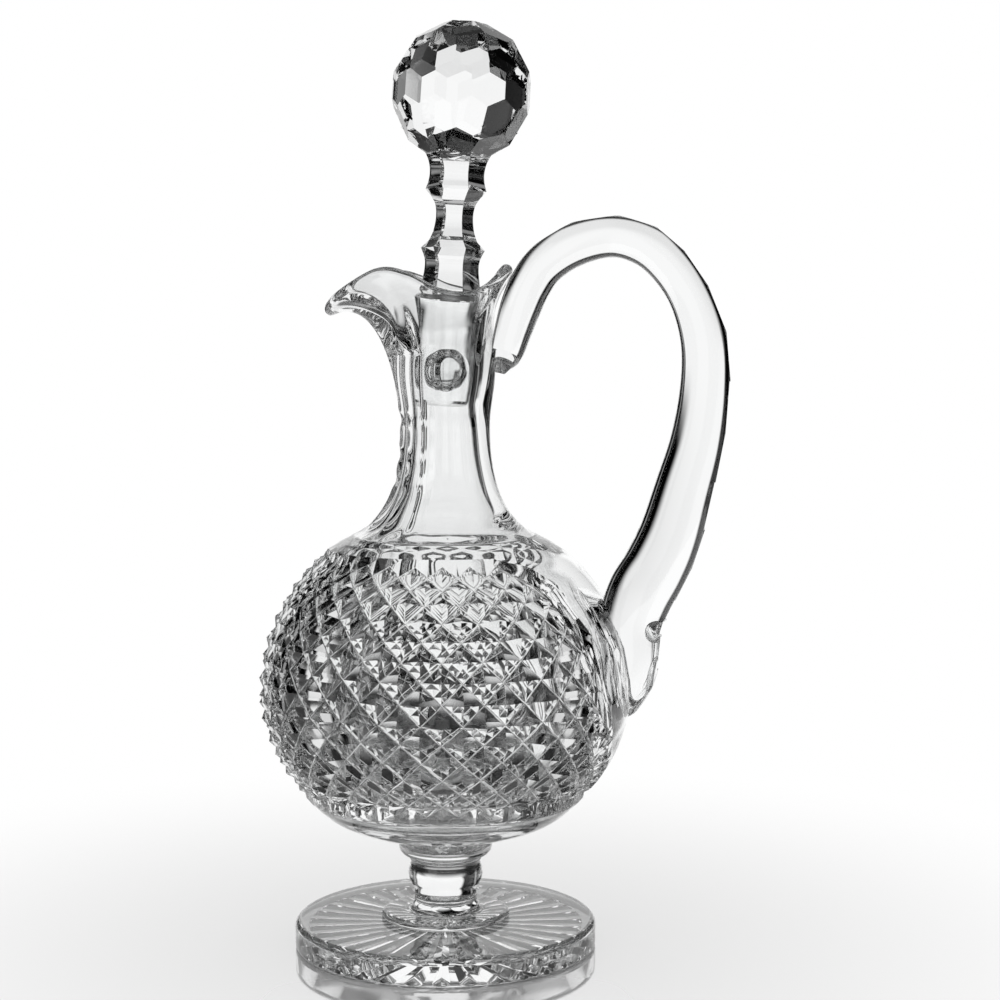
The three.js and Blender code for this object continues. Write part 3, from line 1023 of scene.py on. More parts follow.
@dataclass
class Bowl:
    """The blown globe: diamonds all round, and a plain panel under the handle."""

    diamonds_round: int = 28
    diamond_depth: float = 3.4
    zone_shares: Pair = (0.145, 0.985)
    row_search_share: float = 1 / 400
    low_ring_share: float = 0.94
    high_ring_share: float = 0.25
    ring_weld: float = 0.02
    crease: float = 18.0
    groove: float = 0.3
    groove_segments: int = 2
    panel_shares: tuple[float, ...] = (0.17, 0.3, 0.5, 0.68, 0.784, 0.913, 0.99, 1.0)
    panel_half_turns: tuple[float, ...] = (2, 14, 26, 29, 35, 43, 64, 69)
    border_depths: Pair = (1.2, 3.3)
    border_tip: float = 0.8
    border_lift: float = 0.9
    border_slope: float = 1.15
    border_outer_slope: float = 0.5
    border_deepening_shares: Pair = (0.4, 0.8)
    border_start_shares: Pair = (0.0, 0.12)
    border_end_shares: Pair = (0.93, 1.0)
    plain_below_steps: int = 14
    plain_above_steps: int = 6
    inner_steps: int = 44
    inner_shares: tuple[float, ...] = (0.95, 0.88, 0.76, 0.62, 0.48, 0.34, 0.22, 0.12)
    floor_round: Pair = (6.0, 0.1)
    panel_inner_shares: tuple[float, ...] = (0.97, 0.85, 0.7, 0.55, 0.4, 0.25, 0.16)
    panel_inner_depth: float = 4.3
    panel_zone_shares: Pair = (0.13, 0.99)
    panel_skin: float = 0.01
    panel_steps: int = 90
    border_zone_shares: Pair = (0.17, 0.985)
    border_steps: int = 60
    template_reach: Pair = (8.0, 88.0)
    leaves: tuple[tuple[float, ...], ...] = ((23, 117, 11, 3.2, -4, 1.5), (20, 98, 14, 2.8, -3, 1.4))

    def rows(self) -> list[float]:
        """Where the rows of diamonds cross, as shares of the outline's length.

        Returns:
            The shares, from the lowest up.
        """
        line = DRAWING.bowl_line()
        spaced = line.even_shares()
        length = line.length()
        found, share = [], 0.0
        while share < 1:
            radius, height = line.at(spaced(share))
            up = (height - DRAWING.bowl_base) / DRAWING.bowl_height
            if up > self.zone_shares[1]:
                break
            in_zone = up > self.zone_shares[0]
            if in_zone:
                found.append(share)
            share += radius * math.pi / self.diamonds_round / length if in_zone else self.row_search_share
        return found

    def offset(self, share: float, out: float) -> Pair:
        """A point of the outline at a share of its length, moved out by a distance.

        Args:
            share: the share.
            out: the distance, less than 0 to go into the wall.

        Returns:
            Its radius and height.
        """
        line = DRAWING.bowl_line()
        place = line.even_shares()(share)
        at, along = line.at(place), line.tangent(place)
        return at.x + along.y * out, at.y - along.x * out

    def cut_zone(self, rows: list[float], low: float, high: float) -> Object:
        """The band of diamonds: mitre grooves between pyramids.

        Args:
            rows: where the grooves cross.
            low: the plain ring below them.
            high: the plain ring above them.

        Returns:
            The band, open at its two plain rings.
        """
        columns = 2 * self.diamonds_round
        outline = [self.offset(share, 0) for share in (low, *rows, high)]
        band = lathe("bowl_globe", outline, columns)
        heights = [height for _, height in outline]

        def is_crossing(at: Vector) -> bool:
            """True where two grooves cross.

            Args:
                at: the vertex's place.

            Returns:
                Whether it is a crossing.
            """
            row = min(range(len(heights)), key=lambda i: abs(heights[i] - at.z))
            column = round(math.atan2(at.y, at.x) / FULL_TURN * columns)
            return 0 < row < len(heights) - 1 and (row + column) % 2 == 1

        with editing(band):
            choose(band, is_crossing)
            bpy.ops.mesh.vert_connect()
            self._sink(band, is_crossing)
            for level in (heights[0], heights[-1]):
                choose(band, lambda at, level=level: abs(at.z - level) < WELD)
                bpy.ops.mesh.subdivide(number_cuts=DRAWING.round_steps // columns - 1)
                self._round_off(band, level)
            weld_and_turn_out()
        return band

    def _sink(self, band: Object, is_crossing: Callable[[Vector], bool]) -> None:
        """Pushes the crossings into the wall and rounds the bottoms of the grooves.

        Args:
            band: the band in edit mode.
            is_crossing: True for the crossings' places.
        """
        shape = bmesh.from_edit_mesh(band.data)
        shape.normal_update()
        crossings = [vertex for vertex in shape.verts if is_crossing(vertex.co / MM)]
        line = DRAWING.bowl_line()
        for vertex in crossings:
            radius = vertex.co.xy.length / MM
            depth = self.diamond_depth * radius / DRAWING.bowl_radius
            share = self._share_at(line, vertex.co.z / MM)
            along = line.tangent(share)
            turn = math.atan2(vertex.co.y, vertex.co.x)
            outwards = polar(along.y, turn, -along.x)
            vertex.co -= outwards * depth * MM
        chosen = set(crossings)
        for edge in shape.edges:
            edge.select = edge.verts[0] in chosen and edge.verts[1] in chosen
        bmesh.update_edit_mesh(band.data)
        bpy.ops.mesh.select_mode(type="EDGE")
        bpy.ops.mesh.bevel(offset=self.groove * MM, segments=self.groove_segments, affect="EDGES")
        bpy.ops.mesh.select_mode(type="VERT")

    @staticmethod
    def _share_at(line: SmoothLine, height: float) -> float:
        """Where on the outline a height lies.

        Args:
            line: the outline.
            height: the height.

        Returns:
            The share of the way through its points.
        """
        low, high = 0.0, 1.0
        for _ in range(HALVINGS):
            middle = (low + high) / 2
            if line.at(middle).y < height:
                low = middle
            else:
                high = middle
        return low

    @staticmethod
    def _round_off(band: Object, level: float) -> None:
        """Moves a plain ring's new points out onto its circle.

        Args:
            band: the band in edit mode.
            level: the ring's height.
        """
        shape = bmesh.from_edit_mesh(band.data)
        ring = [vertex for vertex in shape.verts if abs(vertex.co.z / MM - level) < WELD]
        radius = max(vertex.co.xy.length for vertex in ring)
        for vertex in ring:
            vertex.co.xy = vertex.co.xy.normalized() * radius
        bmesh.update_edit_mesh(band.data)

    def inner_outline(self) -> list[Pair]:
        """The smooth inner wall, from the shoulder down to the axis.

        Returns:
            Its radii and heights.
        """
        d = DRAWING
        top = (d.shoulder_radius - d.bowl_wall, d.shoulder)
        wall = [self.offset(share, -d.bowl_wall) for share in self.inner_shares]
        bottom = d.bowl_base + d.bowl_wall
        round_at, rise = self.floor_round
        floor = [(round_at, bottom + rise), (0, bottom)]
        line = SmoothLine((top, *wall, *floor))
        return [tuple(line.at(i / self.inner_steps)) for i in range(self.inner_steps + 1)]

    def globe(self) -> Object:
        """The closed globe, cut all round.

        Returns:
            The globe.
        """
        rows = self.rows()
        low, high = rows[0] * self.low_ring_share, lerp(rows[-1], 1, self.high_ring_share)
        band = self.cut_zone(rows, low, high)
        steps = DRAWING.round_steps
        up, over = self.plain_below_steps, self.plain_above_steps
        below_shares = [low * i / up for i in range(up + 1)]
        above_shares = [lerp(high, 1, i / over) for i in range(over + 1)]
        joint = [(0, DRAWING.bowl_base), (DRAWING.bowl_joint, DRAWING.bowl_base)]
        base = [self.offset(share, 0) for share in below_shares]
        crown = [self.offset(share, 0) for share in above_shares]
        below = lathe("bowl_base", [*joint, *base], steps)
        above = lathe("bowl_top", [*crown, *self.inner_outline()], steps)
        join(band, below, above)
        with editing(band):
            bpy.ops.mesh.select_all(action="SELECT")
            bpy.ops.mesh.remove_doubles(threshold=self.ring_weld * MM)
            weld_and_turn_out()
        return band

    def panel(self) -> Object:
        """The plain skin that is left under the handle, as a solid to add over the diamonds.

        Returns:
            The solid.
        """
        d, count = DRAWING, self.panel_steps
        line = d.bowl_line()
        outer = [line.at(i / count) for i in range(count + 1)]
        ways = [line.tangent(i / count) for i in range(count + 1)]
        skin = [
            (at.x + way.y * self.panel_skin, at.y - way.x * self.panel_skin)
            for at, way in zip(outer, ways)
        ]
        inside = [self.offset(share, -self.panel_inner_depth) for share in self.panel_inner_shares]
        start, stop = (
            next(i for i, at in enumerate(outer) if at.y > d.bowl_base + share * d.bowl_height)
            for share in self.panel_zone_shares
        )
        shell = lathe("panel_shell", [*skin[start:stop], *inside], d.round_steps, closed=True)
        combine(shell, self.template(), "INTERSECT")
        return shell

    def border(self, side: int) -> list[Vector]:
        """The panel's edge on one side, as points on the bowl's surface.

        Args:
            side: 1 for the far side of the handle, -1 for the near side.

        Returns:
            The points, from the lowest up.
        """
        line = DRAWING.bowl_line()
        table = Table(self.panel_shares, tuple((turn,) for turn in self.panel_half_turns), False)
        points = []
        for i in range(self.border_steps + 1):
            share = lerp(*self.border_zone_shares, i / self.border_steps)
            height = DRAWING.bowl_base + share * DRAWING.bowl_height
            radius = line.at(self._share_at(line, height)).x
            points.append(polar(radius, side * math.radians(table.at(share)[0]), height))
        return points

    def template(self) -> Object:
        """A cutter in the panel's shape: its edge drawn from the front and pushed through.

        Returns:
            The cutter.
        """
        right, left = self.border(1), self.border(-1)
        ring = [*right, *reversed(left)]
        clear_bench()
        bpy.ops.mesh.primitive_circle_add(vertices=len(ring), radius=MM, fill_type="NGON")
        tool = bpy.context.active_object
        near, far = self.template_reach
        for vertex, place in zip(tool.data.vertices, ring):
            vertex.co = Vector((near, place.y, place.z)) * MM
        with editing(tool):
            bpy.ops.mesh.select_all(action="SELECT")
            move = ((far - near) * MM, 0, 0)
            bpy.ops.mesh.extrude_region_move(TRANSFORM_OT_translate={"value": move})
            weld_and_turn_out()
        return tool

    def border_cut(self, side: int) -> Object:
        """The wheel for the mitre along one edge of the panel, steep towards the diamonds.

        Args:
            side: 1 for the far side of the handle, -1 for the near side.

        Returns:
            The tool.
        """
        points = self.border(side)
        line = DRAWING.bowl_line()
        rings = []
        for i, place in enumerate(points):
            share = i / (len(points) - 1)
            depth = lerp(*self.border_depths, smooth_step(share, *self.border_deepening_shares))
            depth *= smooth_step(share, *self.border_start_shares)
            depth *= 1 - smooth_step(share, *self.border_end_shares)
            along = line.tangent(self._share_at(line, place.z))
            turn = math.atan2(place.y, place.x)
            out = polar(along.y, turn, -along.x)
            path = points[min(i + 1, len(points) - 1)] - points[max(i - 1, 0)]
            away = out.cross(path).normalized()
            if away.dot(polar(1, turn + side * math.pi / 2, 0)) < 0:
                away.negate()
            root = place + away * self.border_tip
            top, height = root + out * self.border_lift, depth + self.border_lift
            inner = top - away * height * self.border_slope
            outer = top + away * height * self.border_outer_slope
            ring = [inner, root - out * depth, outer]
            rings.append(ring if side > 0 else ring[::-1])
        return drawn(f"border_wheel_{side}", rings)

    def leaf(self, side: int, sizes: Sequence[float]) -> Object:
        """A wheel for a mitre leaf on the panel.

        Args:
            side: 1 or -1, the side of the handle that it lies on.
            sizes: its angle from the handle in degrees, its middle's height, its half length,
                its half width, its lean from upright in degrees, and its depth.

        Returns:
            The tool.
        """
        turn, height, half_length, half_width, tilt, depth = sizes
        line = DRAWING.bowl_line()
        share = self._share_at(line, height)
        at, along = line.at(share), line.tangent(share)
        angle = math.radians(side * turn)
        out = polar(along.y, angle, -along.x)
        up = polar(along.x, angle, along.y)
        lean = Matrix.Rotation(math.radians(side * tilt), 3, out) @ up
        return pebble("leaf_wheel", (half_length, half_width, depth), polar(at.x, angle, at.y), out, lean)

    def build(self) -> Object:
        """Makes the bowl, up to the pocket that the handle is pressed into.

        Returns:
            The bowl.
        """
        globe = self.globe()
        combine(globe, self.panel(), "UNION")
        for side in (1, -1):
            combine(globe, self.border_cut(side), "DIFFERENCE")
            for sizes in self.leaves:
                combine(globe, self.leaf(side, sizes), "DIFFERENCE")
            combine(globe, shoulder_olive(side), "DIFFERENCE")
        number_faces(globe)
        d = DRAWING

        def is_joint(at: Vector, normal: Vector) -> bool:
            """True for the faces that touch the neck or the collar.

            Args:
                at: the face's middle.
                normal: its normal.

            Returns:
                Whether it is fused.
            """
            at_collar = at.z < d.bowl_base + WELD and at.xy.length < d.bowl_joint
            return abs(normal.z) > LEVEL_FACE and (at.z > d.shoulder - WELD or at_collar)

        paint(globe, Face.BOND, is_joint)
        return globe


# Neck.


@dataclass
class Neck:
    """The fluted neck, its ground seat and the curled pouring lip."""

    flute_count: int = 10
    flute_columns: int = 10
    flute_turn: float = math.radians(22.4)
    flute_depth: float = 1.25
    front_flute_share: float = 0.1
    flute_top: float = 203.6
    flute_foot: float = 140.0
    flute_foot_round: float = 3.2
    flute_top_round: float = 1.6
    flute_foot_fade: float = 4.0
    flute_top_fade: Pair = (0.9, 0.5)
    front_flute_turns: Pair = (52.0, 84.0)
    notch_heights: tuple[float, ...] = (159.5, 168.0, 180.0)
    notch_depth: float = 0.8
    notch_half: float = 3.2
    notch_breadth: float = 1 / 3
    end_flute_share: float = 0.02
    crease: float = 32.0
    spout_turns: Pair = (150.0, 176.0)
    back_turns: Pair = (8.0, 40.0)
    lip_rise_share: float = 0.4
    lip_run_share: float = 0.45
    lip_edge: float = 2.9
    lip_spout_more: float = 1.1
    lip_back_more: float = 1.3
    seat_top: float = 201.3
    lip_start: Pair = (17.9, 198.0)
    bowl_before_share: float = 0.93
    lip_slope: float = 0.16
    bore_lean: float = 12.0
    seat_paint: Pair = (22.0, 0.12)
    neck_steps: int = 58
    lip_steps: int = 44
    crown_steps: int = 8
    inner_lip_steps: int = 40
    seat_steps: int = 8
    bore_steps: int = 34
    spout_reach: float = 38.0
    spout_drop: float = 6.6
    curl_reach: float = 22.6
    curl_rise: float = 7.0

    neck_shares: tuple[tuple[float, ...], ...] = (
        (1, 0, 0), (0.83, 0.035, 0), (0.55, 0.1, 0), (0.33, 0.2, 0), (0.15, 0.34, 0),
        (0.04, 0.54, 0), (0, 0.78, 0.1), (0, 1, 1),
    )
    rim_keys: tuple[float, ...] = (0, 22, 50, 90, 122, 146, 165, 180)
    rim_rows: tuple[tuple[float, ...], ...] = (
        (0, 1, 1, 38), (0, 0.75, 0.5, 30), (0, 0.2, -0.08, 20), (0, 0, 0.05, 17),
        (0.1, 0, 0.75, 22), (0.4, 0, 1.05, 42), (0.84, 0, 0.4, 92), (1, 0, 0, 114),
    )
    bore_shares: tuple[Pair, ...] = (
        (0.0, 1.0), (0.01, 0.93), (0.03, 0.85), (0.08, 0.6), (0.2, 0.36), (0.42, 0.18),
        (0.75, 0.06), (1, 0),
    )

    @property
    def flute_start(self) -> float:
        """The angle at which the first flute begins."""
        return math.pi - self.flute_turn * self.flute_count / 2

    def turns(self) -> list[float]:
        """The angles of the neck's columns: even in each flute, and even in the plain back.

        Returns:
            The angles.
        """
        cut = self.flute_count * self.flute_columns
        plain = DRAWING.round_steps - cut
        end = self.flute_start + self.flute_turn * self.flute_count
        return [
            *(self.flute_start + self.flute_turn * i / self.flute_columns for i in range(cut)),
            *(lerp(end, self.flute_start + FULL_TURN, i / plain) for i in range(plain)),
        ]

    def cut_at(self, turn: float, height: float) -> float:
        """How deep the wheel went at an angle and a height.

        Args:
            turn: the angle.
            height: the height.

        Returns:
            The depth.
        """
        place = (turn - self.flute_start) / self.flute_turn
        if place < 0 or place > self.flute_count:
            return 0.0
        across = 2 * (place % 1) - 1
        low = self.flute_foot + self.flute_foot_round * across * across
        high = self.flute_top - self.flute_top_round * across * across
        before, after = self.flute_top_fade
        fade = smooth_step(height, low, low + self.flute_foot_fade)
        fade *= 1 - smooth_step(height, high - before, high + after)
        beside = math.degrees(abs(turn - math.pi))
        share = lerp(1, self.front_flute_share, smooth_step(beside, *self.front_flute_turns))
        flute = self.flute_depth * share * (1 - across * across) * fade
        if not self.end_flute_share <= place <= self.flute_count - self.end_flute_share:
            return flute
        bite = max(0.0, max(1 - abs(height - z) / self.notch_half for z in self.notch_heights))
        ridge = max(0.0, 1 - (1 - abs(across)) / self.notch_breadth)
        return flute + self.notch_depth * share * bite * ridge

    def rim(self, turn: float) -> dict[str, float]:
        """The rim's radius, height, outward lean and thickness at an angle.

        Args:
            turn: the angle.

        Returns:
            The four values by their names.
        """
        angle = math.degrees(abs(math.atan2(math.sin(turn), math.cos(turn))))
        spout, curl, rise, lean = Table(self.rim_keys, self.rim_rows).at(angle)
        d = DRAWING
        thick = self.lip_edge + self.lip_spout_more * smooth_step(angle, *self.spout_turns)
        thick += self.lip_back_more * (1 - smooth_step(angle, *self.back_turns))
        return {
            "radius": d.mouth_radius + spout * (self.spout_reach - d.mouth_radius)
            + curl * (self.curl_reach - d.mouth_radius),
            "z": d.mouth + rise * self.curl_rise - min(1, max(0, spout)) ** 2 * self.spout_drop,
            "lean": math.radians(lean),
            "thick": thick,
        }

    def lip_point(self, start: Vector, end: Vector, lean: float, slope: float, share: float) -> Vector:
        """A point on the lip's curve in one half-plane, from the throat out to the rim.

        Args:
            start: the curve's start, as a radius and a height.
            end: its end.
            lean: how far it leans outwards at its end.
            slope: how fast it widens at its start.
            share: 0 at the start and 1 at the end.

        Returns:
            Its radius and height.
        """
        rise = (end.y - start.y) * self.lip_rise_share
        run = (end - start).length * self.lip_run_share
        first = start + Vector((slope, 1)) * rise
        second = end - Vector((math.sin(lean), math.cos(lean))) * run
        rest = 1 - share
        out_part = start * rest**3 + first * 3 * rest**2 * share
        return out_part + second * 3 * rest * share**2 + end * share**3

    def rings(self) -> list[Place]:
        """The neck's rings, out of the shoulder, over the rim and down the bore.

        Returns:
            For each ring, the function that gives its radius and height at an angle.
        """
        d = DRAWING
        flare, widening = d.shoulder_radius - d.neck_radius, d.throat_radius - d.neck_radius
        outline = [
            (d.neck_radius + low * flare + high * widening, lerp(d.shoulder, d.throat, height))
            for low, height, high in self.neck_shares
        ]
        before = d.bowl_line().at(self.bowl_before_share)
        line = SmoothLine((tuple(before), *outline, self.lip_start))
        first, last = 1 / (len(outline) + 1), len(outline) / (len(outline) + 1)
        neck_shares = self._shares(self.neck_steps, 0)
        neck = [line.at(lerp(first, last, share)) for share in neck_shares]
        heights = [lerp(self.seat_top, d.seat, share) for share in self._shares(self.seat_steps)]
        found = [partial(self._outer_neck, point) for point in neck]
        found += [partial(self._outer_lip, share) for share in self._shares(self.lip_steps)]
        found += [partial(self._crown, math.pi * share) for share in self._shares(self.crown_steps)[:-1]]
        found += [partial(self._inner_lip, 1 - share) for share in self._shares(self.inner_lip_steps, 0)]
        found += [partial(self._seat, height) for height in heights]
        found += [partial(self._bore, share) for share in self._shares(self.bore_steps)]
        return found

    @staticmethod
    def _shares(steps: int, first: int = 1) -> list[float]:
        """Even shares up to 1, with or without the one at 0."""
        return [i / steps for i in range(first, steps + 1)]

    def _outer_neck(self, point: Vector, turn: float) -> Pair:
        """A point of the fluted neck: the plain outline's point, less the cut there."""
        return point.x - self.cut_at(turn, point.y), point.y

    def _outer_lip(self, share: float, turn: float) -> Pair:
        """A point of the lip's outer face.

        Args:
            share: 0 at the throat and 1 at the rim.
            turn: the angle.

        Returns:
            Its radius and height.
        """
        rim = self.rim(turn)
        start = Vector((DRAWING.throat_radius, DRAWING.throat))
        end = Vector((rim["radius"], rim["z"]))
        point = self.lip_point(start, end, rim["lean"], self.lip_slope, share)
        return point.x - self.cut_at(turn, point.y), point.y

    @staticmethod
    def _inner_end(rim: dict[str, float]) -> Vector:
        """Where the rim's inner edge lies."""
        across = Vector((-math.cos(rim["lean"]), math.sin(rim["lean"])))
        return Vector((rim["radius"], rim["z"])) + across * rim["thick"]

    def _crown(self, angle: float, turn: float) -> Pair:
        """A point of the rim's rounded edge.

        Args:
            angle: 0 at its outer side and half a turn at its inner side.
            turn: the angle round the neck.

        Returns:
            Its radius and height.
        """
        rim = self.rim(turn)
        outer, inner = Vector((rim["radius"], rim["z"])), self._inner_end(rim)
        middle, half = (outer + inner) / 2, (outer - inner) / 2
        up = Vector((math.sin(rim["lean"]), math.cos(rim["lean"]))) * rim["thick"] / 2
        return tuple(middle + half * math.cos(angle) + up * math.sin(angle))

    def _inner_lip(self, share: float, turn: float) -> Pair:
        """A point of the lip's inner face.

        Args:
            share: 0 at the seat and 1 at the rim.
            turn: the angle.

        Returns:
            Its radius and height.
        """
        rim = self.rim(turn)
        start = Vector((DRAWING.seat_radius(turn, self.seat_top), self.seat_top))
        point = self.lip_point(start, self._inner_end(rim), rim["lean"], 0, share)
        return max(point.x, DRAWING.seat_radius(turn, point.y)), point.y

    def _seat(self, height: float, turn: float) -> Pair:
        """A point of the ground seat."""
        return DRAWING.seat_radius(turn, height), height

    def _bore(self, share: float, turn: float) -> Pair:
        """A point of the bore below the seat.

        Args:
            share: 0 at one end of the bore and 1 at the other.
            turn: the angle.

        Returns:
            Its radius and height.
        """
        d = DRAWING
        radius_share, height_share = SmoothLine(self.bore_shares).at(share)
        height = lerp(d.shoulder, d.seat, height_share)
        narrow = d.plug_bottom_radius + d.stopper_fit
        radius = lerp(narrow, d.shoulder_radius - d.bowl_wall, radius_share)
        lean = d.seat_radius(turn, d.seat) - narrow
        return radius + lean * smooth_step(height, d.seat - self.bore_lean, d.seat), height

    def build(self) -> Object:
        """Makes the neck, up to the pocket that the handle is pressed into.

        Returns:
            The neck.
        """
        turns = self.turns()
        rings = []
        for place in self.rings():
            sections = [place(turn) for turn in turns]
            rings.append([polar(radius, turn, z) for (radius, z), turn in zip(sections, turns)])
        piece = drawn("neck_lip", rings, looped=True)
        for side in (1, -1):
            combine(piece, shoulder_olive(side), "DIFFERENCE")
        number_faces(piece)
        d = DRAWING
        seat_height, slack = self.seat_paint

        def is_seat(at: Vector, normal: Vector) -> bool:
            """True for the ground seat.

            Args:
                at: the face's middle.
                normal: its normal.

            Returns:
                Whether it is ground.
            """
            off = at.xy.length - d.seat_radius(math.atan2(at.y, at.x), at.z)
            return d.seat < at.z < d.seat + seat_height and abs(off) < slack

        paint(piece, Face.BOND, lambda at, n: at.z < d.shoulder + WELD and n.z < -LEVEL_FACE)
        paint(piece, Face.GROUND, is_seat)
        return piece


# Handle.


@dataclass
class Handle:
    """The loop handle: a drawn rod pressed on at both ends, with flats cut along its back."""

    stand_off: float = 48.0
    thickness: float = 16.0
    breadth: float = 15.5
    root_drop: float = 7.8
    squareness: float = 0.74
    crease: float = 24.0
    rings: int = 190
    sides: int = 40
    flat_count: int = 15
    flat_first: float = 0.27
    flat_last: float = 0.885
    flat_depth: float = 0.75
    flat_wheel: Pair = (30.0, 10.0)
    bevel_share: float = 0.085
    bevel_slant: float = 0.95
    bevel_wheel: Triple = (30.0, 30.0, 12.0)
    thumb_cuts: tuple[tuple[float, Triple, float], ...] = (
        (0.826, (3.8, 5.2, 2.3), 0.72), (0.893, (7.4, 2.8, 2.0), 0.55),
    )

    shares: tuple[tuple[float, ...], ...] = (
        (0.815, -0.15, 0.2), (0.84, -0.11, 0.55), (0.87, -0.045, 0.7), (0.92, 0.045, 0.79),
        (0.972, 0.145, 0.86), (1.022, 0.235, 0.88), (1.07, 0.333, 0.88), (1.117, 0.54, 0.9),
        (1.137, 0.82, 0.87), (1.115, 1.045, 0.88), (1.067, 1.21, 0.88), (0.995, 1.345, 0.9),
        (0.89, 1.345, 1), (0.778, 1.245, 1.06), (0.656, 1.08, 1.15), (0.544, 0.885, 1.25),
        (0.427, 0.675, 1.36), (0.356, 0.515, 1.41), (0.287, 0.335, 1.45), (0.215, 0.2, 1.36),
        (0.143, 0.135, 1.25), (0.072, 0.04, 1.07), (0.02, -0.03, 0.62), (-0.005, -0.075, 0.2),
    )

    def path(self) -> SmoothLine:
        """The rod's middle line, from its end on the neck to its end on the bowl.

        Returns:
            The line.
        """
        d = DRAWING
        foot = d.bowl_base + d.bowl_height / 2 - self.root_drop
        return SmoothLine(tuple(
            (lerp(d.bowl_radius, d.mouth_radius, min(1, max(0, h))) + out * self.stand_off, 0.0,
             lerp(foot, d.mouth, h))
            for h, out, _ in self.shares
        ), centripetal=True)

    def thick_at(self, share: float) -> float:
        """The rod's thickness at a share of its way, as a share of its usual thickness.

        Args:
            share: 0 at its end on the neck and 1 at its end on the bowl.

        Returns:
            The share of the usual thickness.
        """
        last = len(self.shares) - 1
        keys = tuple(i / last for i in range(last + 1))
        return Table(keys, tuple((row[2],) for row in self.shares), False).at(share)[0]

    def squared(self, value: float) -> float:
        """A circle's coordinate, pushed out towards a rounded square."""
        return math.copysign(abs(value) ** self.squareness, value)

    def frame_at(self, share: float) -> tuple[Vector, Vector, Vector]:
        """The rod's middle, its direction and the direction of its back.

        Args:
            share: 0 at its end on the neck and 1 at its end on the bowl.

        Returns:
            The three vectors.
        """
        line = self.path()
        along = line.tangent(share)
        return line.at(share), along, -Vector((0, 1, 0)).cross(along)

    def back_at(self, share: float) -> Vector:
        """The middle of the rod's back at a share of its way."""
        middle, _, back = self.frame_at(share)
        return middle + back * self.thick_at(share) * self.thickness / 2

    def rod(self) -> Object:
        """The rod: a round section drawn along the path, thicker and wider at its roots.

        Returns:
            The rod.
        """
        rings = []
        for i in range(self.rings + 1):
            middle, _, back = self.frame_at(i / self.rings)
            thick = self.thick_at(i / self.rings)
            half, wide = thick * self.thickness / 2, math.sqrt(thick) * self.breadth / 2
            turns = [FULL_TURN * side / self.sides for side in range(self.sides)]
            rings.append([
                middle + back * half * self.squared(math.cos(turn))
                + Vector((0, wide * self.squared(math.sin(turn)), 0))
                for turn in turns
            ])
        return drawn("handle_loop", rings)

    def flat(self, start: float, end: float) -> Object:
        """The block whose inner face cuts one flat across the back, between two crests.

        Args:
            start: the share of the rod's way at one crest.
            end: the share at the other one.

        Returns:
            The tool.
        """
        backs = [self.back_at(share) for share in (start, end)]
        middle = (backs[0] + backs[1]) / 2
        chord = backs[1] - backs[0]
        along = chord.normalized()
        out = Vector((0, 1, 0)).cross(along)
        between = (start + end) / 2
        if out.dot(self.frame_at(between)[2]) < 0:
            out = -out
        sag = (self.back_at(between) - middle).dot(out)
        width, height = self.flat_wheel
        turn = Matrix((along, Vector((0, 1, 0)), out)).transposed().to_4x4()
        place = middle + out * (height / 2 - max(0.0, self.flat_depth - sag))
        return block("flat_wheel", (chord.length, width, height), place, turn)

    def bevel(self, side: int) -> Object:
        """The block whose inner face bevels one side of the rod's end on the neck.

        Args:
            side: 1 for the far side, -1 for the near side.

        Returns:
            The tool.
        """
        middle, along, _ = self.frame_at(self.bevel_share)
        aside = Vector((0, side, 0))
        edge = middle + aside * math.sqrt(self.thick_at(self.bevel_share)) * self.breadth / 2
        out = aside * math.sin(self.bevel_slant) - along * math.cos(self.bevel_slant)
        turn = out.to_track_quat("Z", "Y").to_matrix().to_4x4()
        place = edge + out * self.bevel_wheel[2] / 2
        return block("bevel_wheel", self.bevel_wheel, place, turn)

    def build(self) -> Object:
        """Makes the rod with all its cuts.

        Returns:
            The handle.
        """
        piece = self.rod()
        for side in (1, -1):
            combine(piece, self.bevel(side), "DIFFERENCE")
        step = (self.flat_last - self.flat_first) / self.flat_count
        for i in range(self.flat_count):
            start = self.flat_first + i * step
            combine(piece, self.flat(start, start + step), "DIFFERENCE")
        for share, radii, tilt in self.thumb_cuts:
            middle, along, back = self.frame_at(share)
            thick = self.thick_at(share)
            for side in (1, -1):
                facing = back * math.cos(tilt) + Vector((0, side, 0)) * math.sin(tilt)
                level, aside = self.squared(math.cos(tilt)), self.squared(math.sin(tilt)) * side
                place = middle + back * level * thick * self.thickness / 2
                place.y += aside * math.sqrt(thick) * self.breadth / 2
                combine(piece, pebble("thumb_wheel", radii, place, facing, along), "DIFFERENCE")
        number_faces(piece)
        return piece


